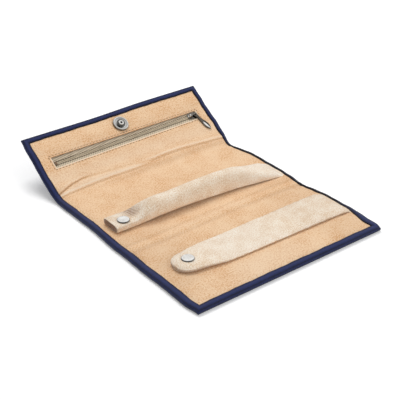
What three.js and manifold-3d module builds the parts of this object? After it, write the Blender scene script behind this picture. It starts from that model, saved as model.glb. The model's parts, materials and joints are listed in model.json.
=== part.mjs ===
// Open tri-fold roll with a zip pocket, a padded bar and a wide strap.
// Millimetres, +Z up. The origin is the middle of the back panel's underside.
// +X runs along the width toward the sewn ends of bar and strap, +Y toward the flap.
import * as THREE from 'three';
import { mergeVertices } from 'three/addons/utils/BufferGeometryUtils.js';
import Module from 'manifold-3d';

const wasm = await Module();
wasm.setup();

// Sizes that drive the part
const WIDTH = 178;
const BACK = 100;
const FRONT_SHORTER = 14.8;
const FRONT = BACK - FRONT_SHORTER;
const FLAP = 63;
const FLAP_RAISED = THREE.MathUtils.degToRad(33);
const FLAP_FOLD = THREE.MathUtils.degToRad(70);
const FRONT_ARCH = 2.6;

// Layers of a panel, from its outside to its turned edge
const COVER = 0.8;
const LINING = 0.6;
const TURNED_EDGE = 0.7;
const THICKNESS = 4;
const TURNED_FACE = 5;
const EDGE_ROUND = 1.6;
const SIDE_ROUND = 1.2;
const LAYER_GAP = 0.1;
const FOLD_GAP = 0.15;
const LINING_TOP = THICKNESS - TURNED_EDGE - LAYER_GAP;
const LINING_LOW = LINING_TOP - LINING;
const PADDING_LOW = COVER + LAYER_GAP;
const PADDING_TOP = LINING_LOW - LAYER_GAP;

// Press studs on bar and strap
const STUD_RADIUS = 5;
const STUD_STACK = 2.6;
const STUD_FLANGE = 0.4;
const CAP_HEIGHT = 1.3;
const KNOB_RADIUS = 1.8;
const SHANK_RADIUS = 1.5;
const WASHER_RADIUS = 4.5;
const FIT = 0.3;

// Padded bar, sewn in at its right end
const BAR_DIAMETER = 16.5;
const BAR_Y = -16;
const BAR_WALL = 1;
const BAR_TAB = { side: 10.5, width: 21.5, height: 3.5, power: 4, length: 17, slope: 24, stud: 10 };
const BAR_SEWN = { width: 28, height: 3.6, power: 3, slope: 50 };
const BAR_TIP_X = BAR_TAB.side - WIDTH / 2;
const BAR_STUD_X = BAR_TIP_X + BAR_TAB.stud;
const SEAT_GAP = 0.2;
const ROOT_GAP = 0.4;
const ROOT_X = WIDTH / 2 - TURNED_FACE - ROOT_GAP;

// Strap on the front panel, sewn in at its right end, tapered to a tongue with a round end
const STRAP_WIDTH = 36;
const STRAP_THICKNESS = 2.2;
const STRAP_TONGUE = { side: 15.4, length: 36, shoulder: 32.4, width: 25, round: 12, rise: 34, stud: 11.6 };
const STRAP_FROM_CREASE = 40;
const STRAP_TIP_X = STRAP_TONGUE.side - WIDTH / 2;
const STRAP_STUD_X = STRAP_TIP_X + STRAP_TONGUE.stud;

// Zip in the flap, placed by its distance from the snap
const ZIP_TO_SNAP = 13.7;
const ZIP_WINDOW = { side: 15, height: 10 };
const ZIP_TILT = THREE.MathUtils.degToRad(1);
const WINDOW_LENGTH = WIDTH - 2 * ZIP_WINDOW.side;
const TAPE = { tuck: 6, width: 6.4, thickness: 0.3, slit: 0.9 };
const TAPE_LENGTH = WINDOW_LENGTH + 2 * TAPE.tuck;
const TEETH = { pitch: 2, height: 0.5, depth: 0.8, spine: 1.2 };
const ZIP_STOP = { length: 2, width: 3.2, height: 0.6 };
const SLIDER = { length: 9, width: 6.6, plate: 0.7, under: 0.4, end: 0.5 };
const SLIDER_X = (WINDOW_LENGTH - SLIDER.length) / 2 - SLIDER.end;
const BRIDGE = { leg: 1, reach: 5.6, clear: 1.5, bar: 0.7 };
const SLIDER_KNOB = { radius: 1.9, back: 1.6 };
const PULL = { length: 19.4, width: 4.8, neck: 2.4, thickness: 1.1, eye: 1.9, recess: 0.4 };
const PULL_LEAN = THREE.MathUtils.degToRad(18);
const POCKET_BACK = 0.15;

// Magnetic snap: button on the flap, magnet on the outside of the front panel
const SNAP_RADIUS = 7;
const SNAP_FROM_EDGE = 15.4;
const BUTTON_HEIGHT = 2.2;
const BUTTON_STUD = { radius: 2.4, height: 1, hole: 0.9 };
const MAGNET_HEIGHT = 2;
const MAGNET_WALL = 0.4;
const SNAP_SHANK = 2;
const SNAP_WASHER = { radius: 6.3, thickness: 0.4 };

// Folds, worked out from what lies between the panels when the roll is closed
const CLOSED_CLEARANCE = 0.3;
const FLAP_CLEARANCE = 1.3;
const BAR_ABOVE_EDGE = LINING_TOP + SEAT_GAP + BAR_DIAMETER - THICKNESS;
const STRAP_ABOVE_EDGE = LINING_TOP + STUD_STACK + STRAP_THICKNESS + FRONT_ARCH - THICKNESS;
const FRONT_SPINE = BAR_ABOVE_EDGE + STRAP_ABOVE_EDGE + CLOSED_CLEARANCE;
const FLAP_SPINE = (FRONT_SPINE + THICKNESS + FLAP_CLEARANCE) / (2 * Math.sin(FLAP_FOLD));
const FLAP_BASE_Y = BACK / 2 - FLAP_SPINE;
const FRONT_INNER_Y = -BACK / 2 + FRONT_SPINE / 2;
const FRONT_OUTER_Y = -BACK / 2 - FRONT_SPINE / 2;
const FRONT_LENGTH = FRONT - FRONT_SPINE / 2;
const FLAP_LENGTH = FLAP - FLAP_SPINE;

// The front panel is a shallow arch over the magnet under it
const ARCH_HALF_ANGLE = 4 * FRONT_ARCH / FRONT_LENGTH;
const ARCH_RADIUS = FRONT_LENGTH / (2 * ARCH_HALF_ANGLE);
const ARCH_HALF_CHORD = ARCH_RADIUS * Math.sin(ARCH_HALF_ANGLE);

// Places from the folds; the magnet lies where the button lands on the closed roll
const SNAP_FROM_FOLD = FLAP_LENGTH - SNAP_FROM_EDGE;
const ZIP_FROM_FOLD = SNAP_FROM_FOLD - ZIP_TO_SNAP;
const MAGNET_REACH = FLAP_BASE_Y - FRONT_INNER_Y - SNAP_FROM_FOLD;
const MAGNET_TURN = Math.asin((MAGNET_REACH - ARCH_HALF_CHORD) / ARCH_RADIUS);
const MAGNET_FROM_FOLD = ARCH_RADIUS * (ARCH_HALF_ANGLE + MAGNET_TURN);

// Larger than the part, for cuts that go right through
const FAR = 400;

const navy = new THREE.MeshStandardMaterial({ color: '#2c3458', roughness: 0.55, metalness: 0 });
const suede = new THREE.MeshStandardMaterial({ color: '#e4bf9b', roughness: 0.95, metalness: 0 });
const cream = new THREE.MeshStandardMaterial({ color: '#ebdbc8', roughness: 0.95, metalness: 0 });
const foam = new THREE.MeshStandardMaterial({ color: '#d8d4cc', roughness: 1, metalness: 0 });
const woven = new THREE.MeshStandardMaterial({ color: '#a99982', roughness: 0.9, metalness: 0 });
const nickel = new THREE.MeshStandardMaterial({ color: '#c9c9cc', roughness: 0.3, metalness: 1 });
const gunmetal = new THREE.MeshStandardMaterial({ color: '#4a4a4e', roughness: 0.35, metalness: 1 });
const magnetic = new THREE.MeshStandardMaterial({ color: '#55565a', roughness: 0.5, metalness: 1 });

// The closed solid of a geometry, without the slivers that a lathe leaves at its poles
function solid(geometry) {
  const bare = geometry.clone();
  bare.deleteAttribute('normal');
  bare.deleteAttribute('uv');
  const merged = mergeVertices(bare, 1e-4);
  const corners = merged.index.array;
  const kept = [];
  for (let i = 0; i < corners.length; i += 3) {
    const triangle = corners.slice(i, i + 3);
    if (new Set(triangle).size === 3) {
      kept.push(...triangle);
    }
  }
  return new wasm.Manifold(new wasm.Mesh({
    numProp: 3,
    vertProperties: new Float32Array(merged.attributes.position.array),
    triVerts: new Uint32Array(kept),
  }));
}

function skinned(body) {
  const mesh = body.getMesh();
  const geometry = new THREE.BufferGeometry();
  geometry.setAttribute('position', new THREE.BufferAttribute(new Float32Array(mesh.vertProperties), 3));
  geometry.setIndex(new THREE.BufferAttribute(new Uint32Array(mesh.triVerts), 1));
  geometry.computeVertexNormals();
  return geometry;
}

function cut(geometry, ...tools) {
  return skinned(tools.reduce((body, tool) => body.subtract(solid(tool)), solid(geometry)));
}

function join(geometry, ...others) {
  return skinned(others.reduce((body, other) => body.add(solid(other)), solid(geometry)));
}

// Adds one named piece, set down by a matrix where it has a seat of its own
function add(parent, name, geometry, material, seat = new THREE.Matrix4()) {
  const piece = new THREE.Mesh(skinned(solid(geometry)), material);
  piece.name = name;
  piece.applyMatrix4(seat);
  parent.add(piece);
}

function seatAt(x, y, z = 0) {
  return new THREE.Matrix4().makeTranslation(x, y, z);
}

function at(geometry, seat) {
  return geometry.clone().applyMatrix4(seat);
}

// A group that turns about X at the top of the turned edge, y beyond its parent's own fold
function folded(parent, y, angle) {
  const hinge = new THREE.Group();
  hinge.position.set(0, y, THICKNESS);
  hinge.rotation.x = angle;
  const panel = new THREE.Group();
  panel.position.z = -THICKNESS;
  hinge.add(panel);
  parent.add(hinge);
  return panel;
}

// Where a distance along a panel and a height above its outside lie in the Y-Z plane
const flat = {
  steps: 1,
  at: (along, height) => new THREE.Vector2(along, height),
};
const arched = {
  steps: 12,
  at: (along, height) => {
    const turn = along / ARCH_RADIUS - ARCH_HALF_ANGLE;
    const reach = ARCH_RADIUS + height;
    return new THREE.Vector2(
      FRONT_OUTER_Y - ARCH_HALF_CHORD - reach * Math.sin(turn),
      reach * Math.cos(turn) - ARCH_RADIUS * Math.cos(ARCH_HALF_ANGLE),
    );
  },
};

// Sets a piece square on the arched panel, height above the panel's outside
function archedSeat(x, along, height = 0) {
  const foot = arched.at(along, height);
  const seat = new THREE.Matrix4().makeRotationX(along / ARCH_RADIUS - ARCH_HALF_ANGLE);
  return seat.setPosition(x, foot.x, foot.y);
}

// Outline of one layer in the Y-Z plane, its far end rounded where the panel ends
function layerOutline(path, from, to, low, high, round = 0) {
  const corner = (along, height) => path.at(along, height).toArray();
  const end = to - round;
  const shape = new THREE.Shape();
  shape.moveTo(...corner(from, low));
  for (let i = 1; i <= path.steps; i += 1) {
    shape.lineTo(...corner(from + (end - from) * i / path.steps, low));
  }
  if (round > 0) {
    shape.quadraticCurveTo(...corner(to, low), ...corner(to, low + round));
    shape.lineTo(...corner(to, high - round));
    shape.quadraticCurveTo(...corner(to, high), ...corner(end, high));
  }
  for (let i = path.steps; i >= 0; i -= 1) {
    shape.lineTo(...corner(from + (end - from) * i / path.steps, high));
  }
  return shape;
}

const Y_Z_ALONG_X = new THREE.Matrix4().makeBasis(
  new THREE.Vector3(0, 1, 0),
  new THREE.Vector3(0, 0, 1),
  new THREE.Vector3(1, 0, 0),
);

// Carries a Y-Z outline along X, centred, with its sides rounded
function across(shape, width, round = 0) {
  const geometry = new THREE.ExtrudeGeometry(shape, {
    depth: width - 2 * round,
    bevelEnabled: round > 0,
    bevelThickness: round,
    bevelSize: round,
    bevelOffset: -round,
    bevelSegments: 2,
    curveSegments: 3,
  });
  geometry.translate(0, 0, round - width / 2);
  return geometry.applyMatrix4(Y_Z_ALONG_X);
}

// Carries an X-Y outline up from low to high
function upright(shape, low, high, curveSegments = 8) {
  const geometry = new THREE.ExtrudeGeometry(shape, {
    depth: high - low,
    bevelEnabled: false,
    curveSegments,
  });
  return geometry.translate(0, 0, low);
}

function block(x0, x1, y0, y1, z0, z1) {
  const geometry = new THREE.BoxGeometry(x1 - x0, y1 - y0, z1 - z0);
  return geometry.translate((x0 + x1) / 2, (y0 + y1) / 2, (z0 + z1) / 2);
}

// A round piece about Z from [radius, height] corners listed up its outside
function turned(corners, segments = 24) {
  const points = corners.map(([radius, height]) => new THREE.Vector2(radius, height));
  return new THREE.LatheGeometry(points, segments).rotateX(Math.PI / 2);
}

function ring(outer, inner, low, high) {
  return turned([[inner, low], [outer, low], [outer, high], [inner, high], [inner, low]]);
}

function disc(radius, low, high) {
  return turned([[0, low], [radius, low], [radius, high], [0, high]]);
}

// Layers run past the folds and are cut back to leave the gap there
const OVERRUN = 6;
function between(geometry, low, high) {
  const before = block(-FAR, FAR, -FAR, low + FOLD_GAP, -FAR, FAR);
  const after = block(-FAR, FAR, high - FOLD_GAP, FAR, -FAR, FAR);
  return cut(geometry, before, after);
}

// Outer leather turned over the sides, and over the far edge of a panel that ends there
function leather(path, from, to, ends) {
  const begin = from - OVERRUN;
  const past = to + OVERRUN;
  const round = ends ? EDGE_ROUND : 0;
  const outer = layerOutline(path, begin, ends ? to : past, 0, THICKNESS, round);
  const pocket = layerOutline(path, begin - 1, ends ? to - COVER : past + 1, COVER, LINING_TOP + LAYER_GAP);
  const open = layerOutline(path, begin - 1, ends ? to - TURNED_FACE : past + 1, LINING_TOP, 2 * THICKNESS);
  return cut(
    across(outer, WIDTH, SIDE_ROUND),
    across(pocket, WIDTH - 2 * COVER),
    across(open, WIDTH - 2 * TURNED_FACE),
  );
}

// A layer that lies inside the turned edges
function layer(path, from, to, ends, low, high) {
  const until = ends ? to - COVER - LAYER_GAP : to + OVERRUN;
  const outline = layerOutline(path, from - OVERRUN, until, low, high);
  return across(outline, WIDTH - 2 * (COVER + LAYER_GAP));
}

// Rounded loop of points across one X, from square-sided at a high power to an ellipse at 2
function loopAt(x, centre, width, low, height, power, count, place) {
  const points = [];
  for (let i = 0; i < count; i += 1) {
    const angle = 2 * Math.PI * i / count;
    const [c, s] = [Math.cos(angle), Math.sin(angle)];
    const side = Math.sign(c) * Math.abs(c) ** (2 / power) * width / 2;
    const rise = Math.sign(s) * Math.abs(s) ** (2 / power) * height / 2;
    points.push(place(x, centre + side, low + height / 2 + rise));
  }
  return points;
}

// Closed skin over a row of loops
function loft(loops) {
  const count = loops[0].length;
  const corners = [];
  for (let i = 0; i + 1 < loops.length; i += 1) {
    for (let j = 0; j < count; j += 1) {
      const a = i * count + j;
      const b = i * count + (j + 1) % count;
      corners.push(a, b, a + count, b, b + count, a + count);
    }
  }
  const last = (loops.length - 1) * count;
  for (let j = 1; j + 1 < count; j += 1) {
    corners.push(0, j + 1, j);
    corners.push(last, last + j, last + j + 1);
  }
  const geometry = new THREE.BufferGeometry().setFromPoints(loops.flat());
  geometry.setIndex(corners);
  return geometry;
}

const { lerp: mix, smoothstep } = THREE.MathUtils;
const group = new THREE.Group();

// Press stud, its heights measured from the lining's top
const shankHole = disc(SHANK_RADIUS + FIT / 2, -FAR, FAR);
const washerHole = disc(WASHER_RADIUS + FIT, -FAR, FAR);

function studKnob() {
  const shankEnd = -LINING - 2 * LAYER_GAP - STUD_FLANGE;
  return turned([
    [0, shankEnd],
    [SHANK_RADIUS, shankEnd],
    [SHANK_RADIUS, LAYER_GAP],
    [STUD_RADIUS, LAYER_GAP],
    [STUD_RADIUS, STUD_FLANGE],
    [KNOB_RADIUS * 0.8, STUD_FLANGE],
    [KNOB_RADIUS, STUD_STACK * 0.55],
    [KNOB_RADIUS * 0.6, STUD_STACK * 0.75],
    [0, STUD_STACK * 0.75],
  ]);
}

function studWasher() {
  const top = -LINING - LAYER_GAP;
  return ring(WASHER_RADIUS, SHANK_RADIUS + FIT / 2, top - STUD_FLANGE, top);
}

function studSocket() {
  const low = STUD_FLANGE + LAYER_GAP;
  const top = STUD_STACK - LAYER_GAP;
  const bore = KNOB_RADIUS + FIT;
  const boreTop = STUD_STACK * 0.83;
  return turned([
    [0, boreTop],
    [bore, boreTop],
    [bore, low],
    [STUD_RADIUS * 0.8, low],
    [STUD_RADIUS, low + (top - low) * 0.2],
    [STUD_RADIUS, top],
    [0, top],
  ]);
}

// The domed cap's shank goes through the held layer down to the socket
function studCap(held) {
  const seat = STUD_STACK + held + LAYER_GAP;
  return turned([
    [0, STUD_STACK],
    [SHANK_RADIUS, STUD_STACK],
    [SHANK_RADIUS, seat],
    [STUD_RADIUS, seat],
    [STUD_RADIUS, seat + CAP_HEIGHT * 0.45],
    [STUD_RADIUS * 0.86, seat + CAP_HEIGHT * 0.8],
    [STUD_RADIUS * 0.55, seat + CAP_HEIGHT],
    [0, seat + CAP_HEIGHT],
  ]);
}

// Back panel, which lies on the table
const barStudSeat = seatAt(BAR_STUD_X, BAR_Y, LINING_TOP);
function backLayer(low, high) {
  return between(layer(flat, FRONT_INNER_Y, FLAP_BASE_Y, false, low, high), FRONT_INNER_Y, FLAP_BASE_Y);
}
const backLeather = leather(flat, FRONT_INNER_Y, FLAP_BASE_Y, false);
add(group, 'back_cover', between(backLeather, FRONT_INNER_Y, FLAP_BASE_Y), navy);
add(group, 'back_padding', cut(backLayer(PADDING_LOW, PADDING_TOP), at(washerHole, barStudSeat)), foam);
add(group, 'back_lining', cut(backLayer(LINING_LOW, LINING_TOP), at(shankHole, barStudSeat)), suede);
add(group, 'bar_stud', studKnob(), nickel, barStudSeat);
add(group, 'bar_stud_washer', studWasher(), nickel, barStudSeat);

// Padded bar, round in the middle and pressed flat at both ends
function barLoop(x, inset, count) {
  const tabEnd = BAR_TIP_X + BAR_TAB.length;
  const tab = 1 - smoothstep(x, tabEnd, tabEnd + BAR_TAB.slope);
  const sewn = smoothstep(x, ROOT_X - BAR_SEWN.slope, ROOT_X);
  const blend = (round, atTab, atRoot) => mix(mix(round, atTab, tab), atRoot, sewn);
  const width = blend(BAR_DIAMETER, BAR_TAB.width, BAR_SEWN.width);
  const height = blend(BAR_DIAMETER, BAR_TAB.height, BAR_SEWN.height);
  const low = LINING_TOP + blend(SEAT_GAP, STUD_STACK, SEAT_GAP);
  const power = blend(2, BAR_TAB.power, BAR_SEWN.power);
  return loopAt(x, BAR_Y, width - 2 * inset, low + inset, height - 2 * inset, power, count,
    (...point) => new THREE.Vector3(...point));
}
function barLoft(from, to, inset, stations, count) {
  const loops = [];
  for (let i = 0; i <= stations; i += 1) {
    loops.push(barLoop(mix(from, to, i / stations), inset, count));
  }
  return loft(loops);
}
const fillingFrom = BAR_TIP_X + BAR_TAB.length + BAR_TAB.slope / 3;
const fillingTo = ROOT_X - BAR_SEWN.slope / 4;
add(group, 'bar_sleeve', cut(
  barLoft(BAR_TIP_X, ROOT_X, 0, 24, 20),
  barLoft(fillingFrom - FIT, ROOT_X + 1, BAR_WALL, 16, 16),
  at(shankHole, barStudSeat),
), cream);
add(group, 'bar_filling', barLoft(fillingFrom, fillingTo, BAR_WALL + FIT, 14, 12), foam);
add(group, 'bar_socket', studSocket(), nickel, barStudSeat);
add(group, 'bar_cap', studCap(BAR_TAB.height), nickel, barStudSeat);

// Soft strips of the two folds
function strip(parent, name, from, to) {
  add(parent, `${name}_cover`, between(leather(flat, from, to, false), from, to), navy);
  const lining = layer(flat, from, to, false, LINING_LOW, LINING_TOP);
  add(parent, `${name}_lining`, between(lining, from, to), suede);
}
strip(group, 'front_spine', FRONT_OUTER_Y, FRONT_INNER_Y);
const lowerSpine = folded(group, FLAP_BASE_Y, 0);
strip(lowerSpine, 'flap_lower_spine', 0, FLAP_SPINE);
const upperSpine = folded(lowerSpine, FLAP_SPINE, FLAP_RAISED);
strip(upperSpine, 'flap_upper_spine', 0, FLAP_SPINE);

// Leather bent round the outside of the raised crease
const creaseEase = 2 * FOLD_GAP / THICKNESS;
const creaseFrom = -Math.PI / 2 - FLAP_RAISED + creaseEase;
const creaseTo = -Math.PI / 2 - creaseEase;
const crease = new THREE.Shape();
crease.absarc(0, THICKNESS, THICKNESS, creaseFrom, creaseTo, false);
crease.absarc(0, THICKNESS, THICKNESS - COVER, creaseTo, creaseFrom, true);
add(upperSpine, 'flap_crease', across(crease, WIDTH - 2 * SIDE_ROUND), navy);

// Flap with its zip pocket; distances run from the fold at its foot. The zip's line is turned a
// little about the slider, so that it drops toward its other end.
const flap = folded(upperSpine, FLAP_SPINE, 0);
const zipTurn = new THREE.Matrix4().makeRotationZ(ZIP_TILT);
const zipSeat = seatAt(SLIDER_X, ZIP_FROM_FOLD).multiply(zipTurn).multiply(seatAt(-SLIDER_X, 0));
const alongZip = (x) => zipSeat.clone().multiply(seatAt(x, 0));
const snapSeat = seatAt(0, SNAP_FROM_FOLD);
const snapHole = disc(SNAP_SHANK + FIT / 2, -FAR, FAR);
function flapLayer(low, high) {
  return between(layer(flat, 0, FLAP_LENGTH, true, low, high), 0, FAR);
}
const zipWindow = block(-WINDOW_LENGTH / 2, WINDOW_LENGTH / 2,
  -ZIP_WINDOW.height / 2, ZIP_WINDOW.height / 2, 0, THICKNESS);
add(flap, 'flap_cover', between(leather(flat, 0, FLAP_LENGTH, true), 0, FAR), navy);
add(flap, 'pocket_back', flapLayer(COVER + LAYER_GAP, COVER + LAYER_GAP + POCKET_BACK), suede);
add(flap, 'flap_lining',
  cut(flapLayer(LINING_LOW, LINING_TOP), at(zipWindow, zipSeat), at(snapHole, snapSeat)), suede);

// Zip tapes with a row of teeth under each inner edge
const tapeTop = LINING_LOW - LAYER_GAP;
const tapeLow = tapeTop - TAPE.thickness;
const teethLow = tapeLow - TEETH.height;
const edge = TAPE.slit / 2;
function zipTape() {
  const count = Math.floor(WINDOW_LENGTH / TEETH.pitch);
  const start = -count * TEETH.pitch / 2;
  const root = edge + TEETH.depth;
  const strand = new THREE.Shape();
  strand.moveTo(start, root + TEETH.spine);
  strand.lineTo(start, root);
  for (let i = 0; i < count; i += 1) {
    const x = start + i * TEETH.pitch;
    strand.lineTo(x + TEETH.pitch * 0.25, root);
    strand.lineTo(x + TEETH.pitch * 0.35, edge);
    strand.lineTo(x + TEETH.pitch * 0.65, edge);
    strand.lineTo(x + TEETH.pitch * 0.75, root);
  }
  strand.lineTo(-start, root);
  strand.lineTo(-start, root + TEETH.spine);
  const cloth = block(-TAPE_LENGTH / 2, TAPE_LENGTH / 2, edge, edge + TAPE.width, tapeLow, tapeTop);
  return join(cloth, upright(strand, teethLow, tapeLow + TAPE.thickness / 2));
}
const turnedOver = zipSeat.clone().multiply(new THREE.Matrix4().makeRotationZ(Math.PI));
add(flap, 'zip_tape_upper', zipTape(), woven, zipSeat);
add(flap, 'zip_tape_lower', zipTape(), woven, turnedOver);
const stopEnd = -WINDOW_LENGTH / 2 + FIT;
const plateLow = tapeTop + LAYER_GAP;
add(flap, 'zip_stop', block(stopEnd, stopEnd + ZIP_STOP.length,
  -ZIP_STOP.width / 2, ZIP_STOP.width / 2, plateLow, plateLow + ZIP_STOP.height), gunmetal, zipSeat);

// Slider: plates above and below the tapes, a web through the slit, an arched bridge and a domed knob
const plateTop = plateLow + SLIDER.plate;
const underTop = teethLow - LAYER_GAP;
const plate = new THREE.Shape();
plate.moveTo(-SLIDER.length / 2, -SLIDER.width * 0.36);
plate.lineTo(SLIDER.length * 0.15, -SLIDER.width / 2);
plate.quadraticCurveTo(SLIDER.length / 2, -SLIDER.width / 2, SLIDER.length / 2, 0);
plate.quadraticCurveTo(SLIDER.length / 2, SLIDER.width / 2, SLIDER.length * 0.15, SLIDER.width / 2);
plate.lineTo(-SLIDER.length / 2, SLIDER.width * 0.36);
const legX = BRIDGE.reach / 2;
const legOut = legX + BRIDGE.leg / 2;
const legIn = legX - BRIDGE.leg / 2;
const bridgeFoot = plateTop - SLIDER.plate / 2;
const bridgeTop = plateTop + BRIDGE.clear + BRIDGE.bar;
const arch = new THREE.Shape();
arch.moveTo(legOut, bridgeFoot);
arch.lineTo(legOut, bridgeTop - BRIDGE.bar);
arch.quadraticCurveTo(legOut, bridgeTop, legIn, bridgeTop);
arch.lineTo(-legIn, bridgeTop);
arch.quadraticCurveTo(-legOut, bridgeTop, -legOut, bridgeTop - BRIDGE.bar);
arch.lineTo(-legOut, bridgeFoot);
arch.lineTo(-legIn, bridgeFoot);
arch.lineTo(-legIn, bridgeTop - BRIDGE.bar);
arch.lineTo(legIn, bridgeTop - BRIDGE.bar);
arch.lineTo(legIn, bridgeFoot);
const bridge = upright(arch, -BRIDGE.leg / 2, BRIDGE.leg / 2, 4).rotateX(Math.PI / 2);
const web = (TAPE.slit - FIT) / 2;
const wedge = block(SLIDER.length * 0.2, SLIDER.length * 0.42, -web, web,
  underTop - SLIDER.under / 2, plateLow + SLIDER.plate / 2);
const knob = turned([
  [0, bridgeFoot],
  [SLIDER_KNOB.radius, bridgeFoot],
  [SLIDER_KNOB.radius, plateTop + BRIDGE.clear * 0.5],
  [SLIDER_KNOB.radius * 0.8, bridgeTop - BRIDGE.bar * 0.6],
  [SLIDER_KNOB.radius * 0.4, bridgeTop],
  [0, bridgeTop],
]).translate(-SLIDER_KNOB.back, 0, 0);
const slider = join(
  upright(plate, plateLow, plateTop, 4),
  upright(plate, underTop - SLIDER.under, underTop, 4),
  wedge,
  bridge,
  knob,
);
add(flap, 'zip_slider', slider, gunmetal, alongZip(SLIDER_X));

// Leaf-shaped pull, its eye round the bridge's front leg, with a shallow recess in its face
const half = PULL.width / 2;
const neck = PULL.neck / 2;
const neckAt = -PULL.length * 0.28;
const widest = -PULL.length * 0.7;
const leaf = new THREE.Shape();
leaf.absarc(0, 0, PULL.eye, 0, Math.PI, false);
leaf.bezierCurveTo(-PULL.eye, neckAt * 0.4, -neck, neckAt * 0.5, -neck, neckAt);
leaf.bezierCurveTo(-neck, neckAt * 1.5, -half, widest * 0.8, -half, widest);
leaf.quadraticCurveTo(-half, -PULL.length * 0.9, 0, -PULL.length);
leaf.quadraticCurveTo(half, -PULL.length * 0.9, half, widest);
leaf.bezierCurveTo(half, widest * 0.8, neck, neckAt * 1.5, neck, neckAt);
leaf.bezierCurveTo(neck, neckAt * 0.5, PULL.eye, neckAt * 0.4, PULL.eye, 0);
const dish = new THREE.Shape();
dish.absellipse(0, widest, PULL.width * 0.28, PULL.length * 0.2, 0, 2 * Math.PI);
const pullLow = plateTop + SEAT_GAP;
const pullTop = pullLow + PULL.thickness;
const eyeHole = Math.hypot(BRIDGE.leg, BRIDGE.leg) / 2 + FIT;
const pull = cut(
  upright(leaf, pullLow, pullTop),
  disc(eyeHole, -FAR, FAR),
  upright(dish, pullTop - PULL.recess, FAR, 10),
);
const pullSeat = alongZip(SLIDER_X + legX).multiply(new THREE.Matrix4().makeRotationZ(PULL_LEAN));
add(flap, 'zip_pull', pull, gunmetal, pullSeat);

// Button half of the magnetic snap: rolled rim, dished face, hollow stud, shank to a washer behind the lining
const buttonTop = LINING_TOP + BUTTON_HEIGHT;
const grooveLow = buttonTop - BUTTON_HEIGHT * 0.55;
const studTop = buttonTop + BUTTON_STUD.height;
const holeLow = studTop - BUTTON_HEIGHT * 0.6;
const washerTop = LINING_LOW - LAYER_GAP;
const washerLow = washerTop - SNAP_WASHER.thickness;
const button = turned([
  [0, washerLow],
  [SNAP_SHANK, washerLow],
  [SNAP_SHANK, LINING_TOP + LAYER_GAP],
  [SNAP_RADIUS, LINING_TOP + LAYER_GAP],
  [SNAP_RADIUS, buttonTop - BUTTON_HEIGHT * 0.35],
  [SNAP_RADIUS * 0.95, buttonTop - BUTTON_HEIGHT * 0.1],
  [SNAP_RADIUS * 0.87, buttonTop],
  [SNAP_RADIUS * 0.77, buttonTop - BUTTON_HEIGHT * 0.08],
  [SNAP_RADIUS * 0.58, buttonTop - BUTTON_HEIGHT * 0.28],
  [SNAP_RADIUS * 0.52, grooveLow],
  [BUTTON_STUD.radius, grooveLow],
  [BUTTON_STUD.radius, studTop - BUTTON_STUD.height * 0.3],
  [BUTTON_STUD.radius * 0.85, studTop],
  [BUTTON_STUD.hole, studTop],
  [BUTTON_STUD.hole, holeLow],
  [0, holeLow],
], 32);
add(flap, 'snap_button', button, nickel, snapSeat);
const snapBore = SNAP_SHANK + FIT / 2;
add(flap, 'snap_button_washer', ring(SNAP_WASHER.radius, snapBore, washerLow, washerTop), nickel, snapSeat);

// Front panel, arched
const strapAlong = STRAP_FROM_CREASE - FRONT_SPINE / 2;
const strapStudSeat = archedSeat(STRAP_STUD_X, strapAlong, LINING_TOP);
const magnetSeat = archedSeat(0, MAGNET_FROM_FOLD);
function frontLayer(low, high) {
  return between(layer(arched, 0, FRONT_LENGTH, true, low, high), -FAR, FRONT_OUTER_Y);
}
const frontLeather = between(leather(arched, 0, FRONT_LENGTH, true), -FAR, FRONT_OUTER_Y);
const magnetHole = disc(snapBore, -THICKNESS, COVER + LAYER_GAP);
const magnetWasherHole = disc(SNAP_WASHER.radius + FIT, -FAR, FAR);
add(group, 'front_cover', cut(frontLeather, at(magnetHole, magnetSeat)), navy);
add(group, 'front_padding', cut(frontLayer(PADDING_LOW, PADDING_TOP),
  at(washerHole, strapStudSeat), at(magnetWasherHole, magnetSeat)), foam);
add(group, 'front_lining', cut(frontLayer(LINING_LOW, LINING_TOP), at(shankHole, strapStudSeat)), suede);
add(group, 'strap_stud', studKnob(), nickel, strapStudSeat);
add(group, 'strap_stud_washer', studWasher(), nickel, strapStudSeat);

// Magnet half of the snap, its flat back clear of the arch
const magnetTop = -LAYER_GAP - SNAP_RADIUS ** 2 / (2 * ARCH_RADIUS);
const magnetFace = magnetTop - MAGNET_HEIGHT;
const faceInside = magnetFace + MAGNET_WALL;
const baseLow = magnetTop - MAGNET_WALL;
const caseInside = SNAP_RADIUS - MAGNET_WALL;
const bore = BUTTON_STUD.radius + FIT;
const boreOutside = bore + MAGNET_WALL;
const shankTop = COVER + LAYER_GAP + SNAP_WASHER.thickness;
add(group, 'magnet_base', turned([
  [0, baseLow],
  [caseInside - LAYER_GAP, baseLow],
  [caseInside - LAYER_GAP, magnetTop],
  [SNAP_SHANK, magnetTop],
  [SNAP_SHANK, shankTop],
  [0, shankTop],
]), nickel, magnetSeat);
add(group, 'magnet_ring', ring(caseInside - LAYER_GAP, boreOutside + LAYER_GAP,
  faceInside + LAYER_GAP, baseLow - LAYER_GAP), magnetic, magnetSeat);
add(group, 'magnet_case', turned([
  [bore, magnetFace],
  [SNAP_RADIUS - MAGNET_WALL, magnetFace],
  [SNAP_RADIUS, magnetFace + MAGNET_WALL],
  [SNAP_RADIUS, magnetTop],
  [caseInside, magnetTop],
  [caseInside, faceInside],
  [boreOutside, faceInside],
  [boreOutside, baseLow - LAYER_GAP],
  [bore, baseLow - LAYER_GAP],
  [bore, magnetFace],
], 32), nickel, magnetSeat);
add(group, 'magnet_washer',
  ring(SNAP_WASHER.radius, snapBore, COVER + LAYER_GAP, shankTop), nickel, magnetSeat);

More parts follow.
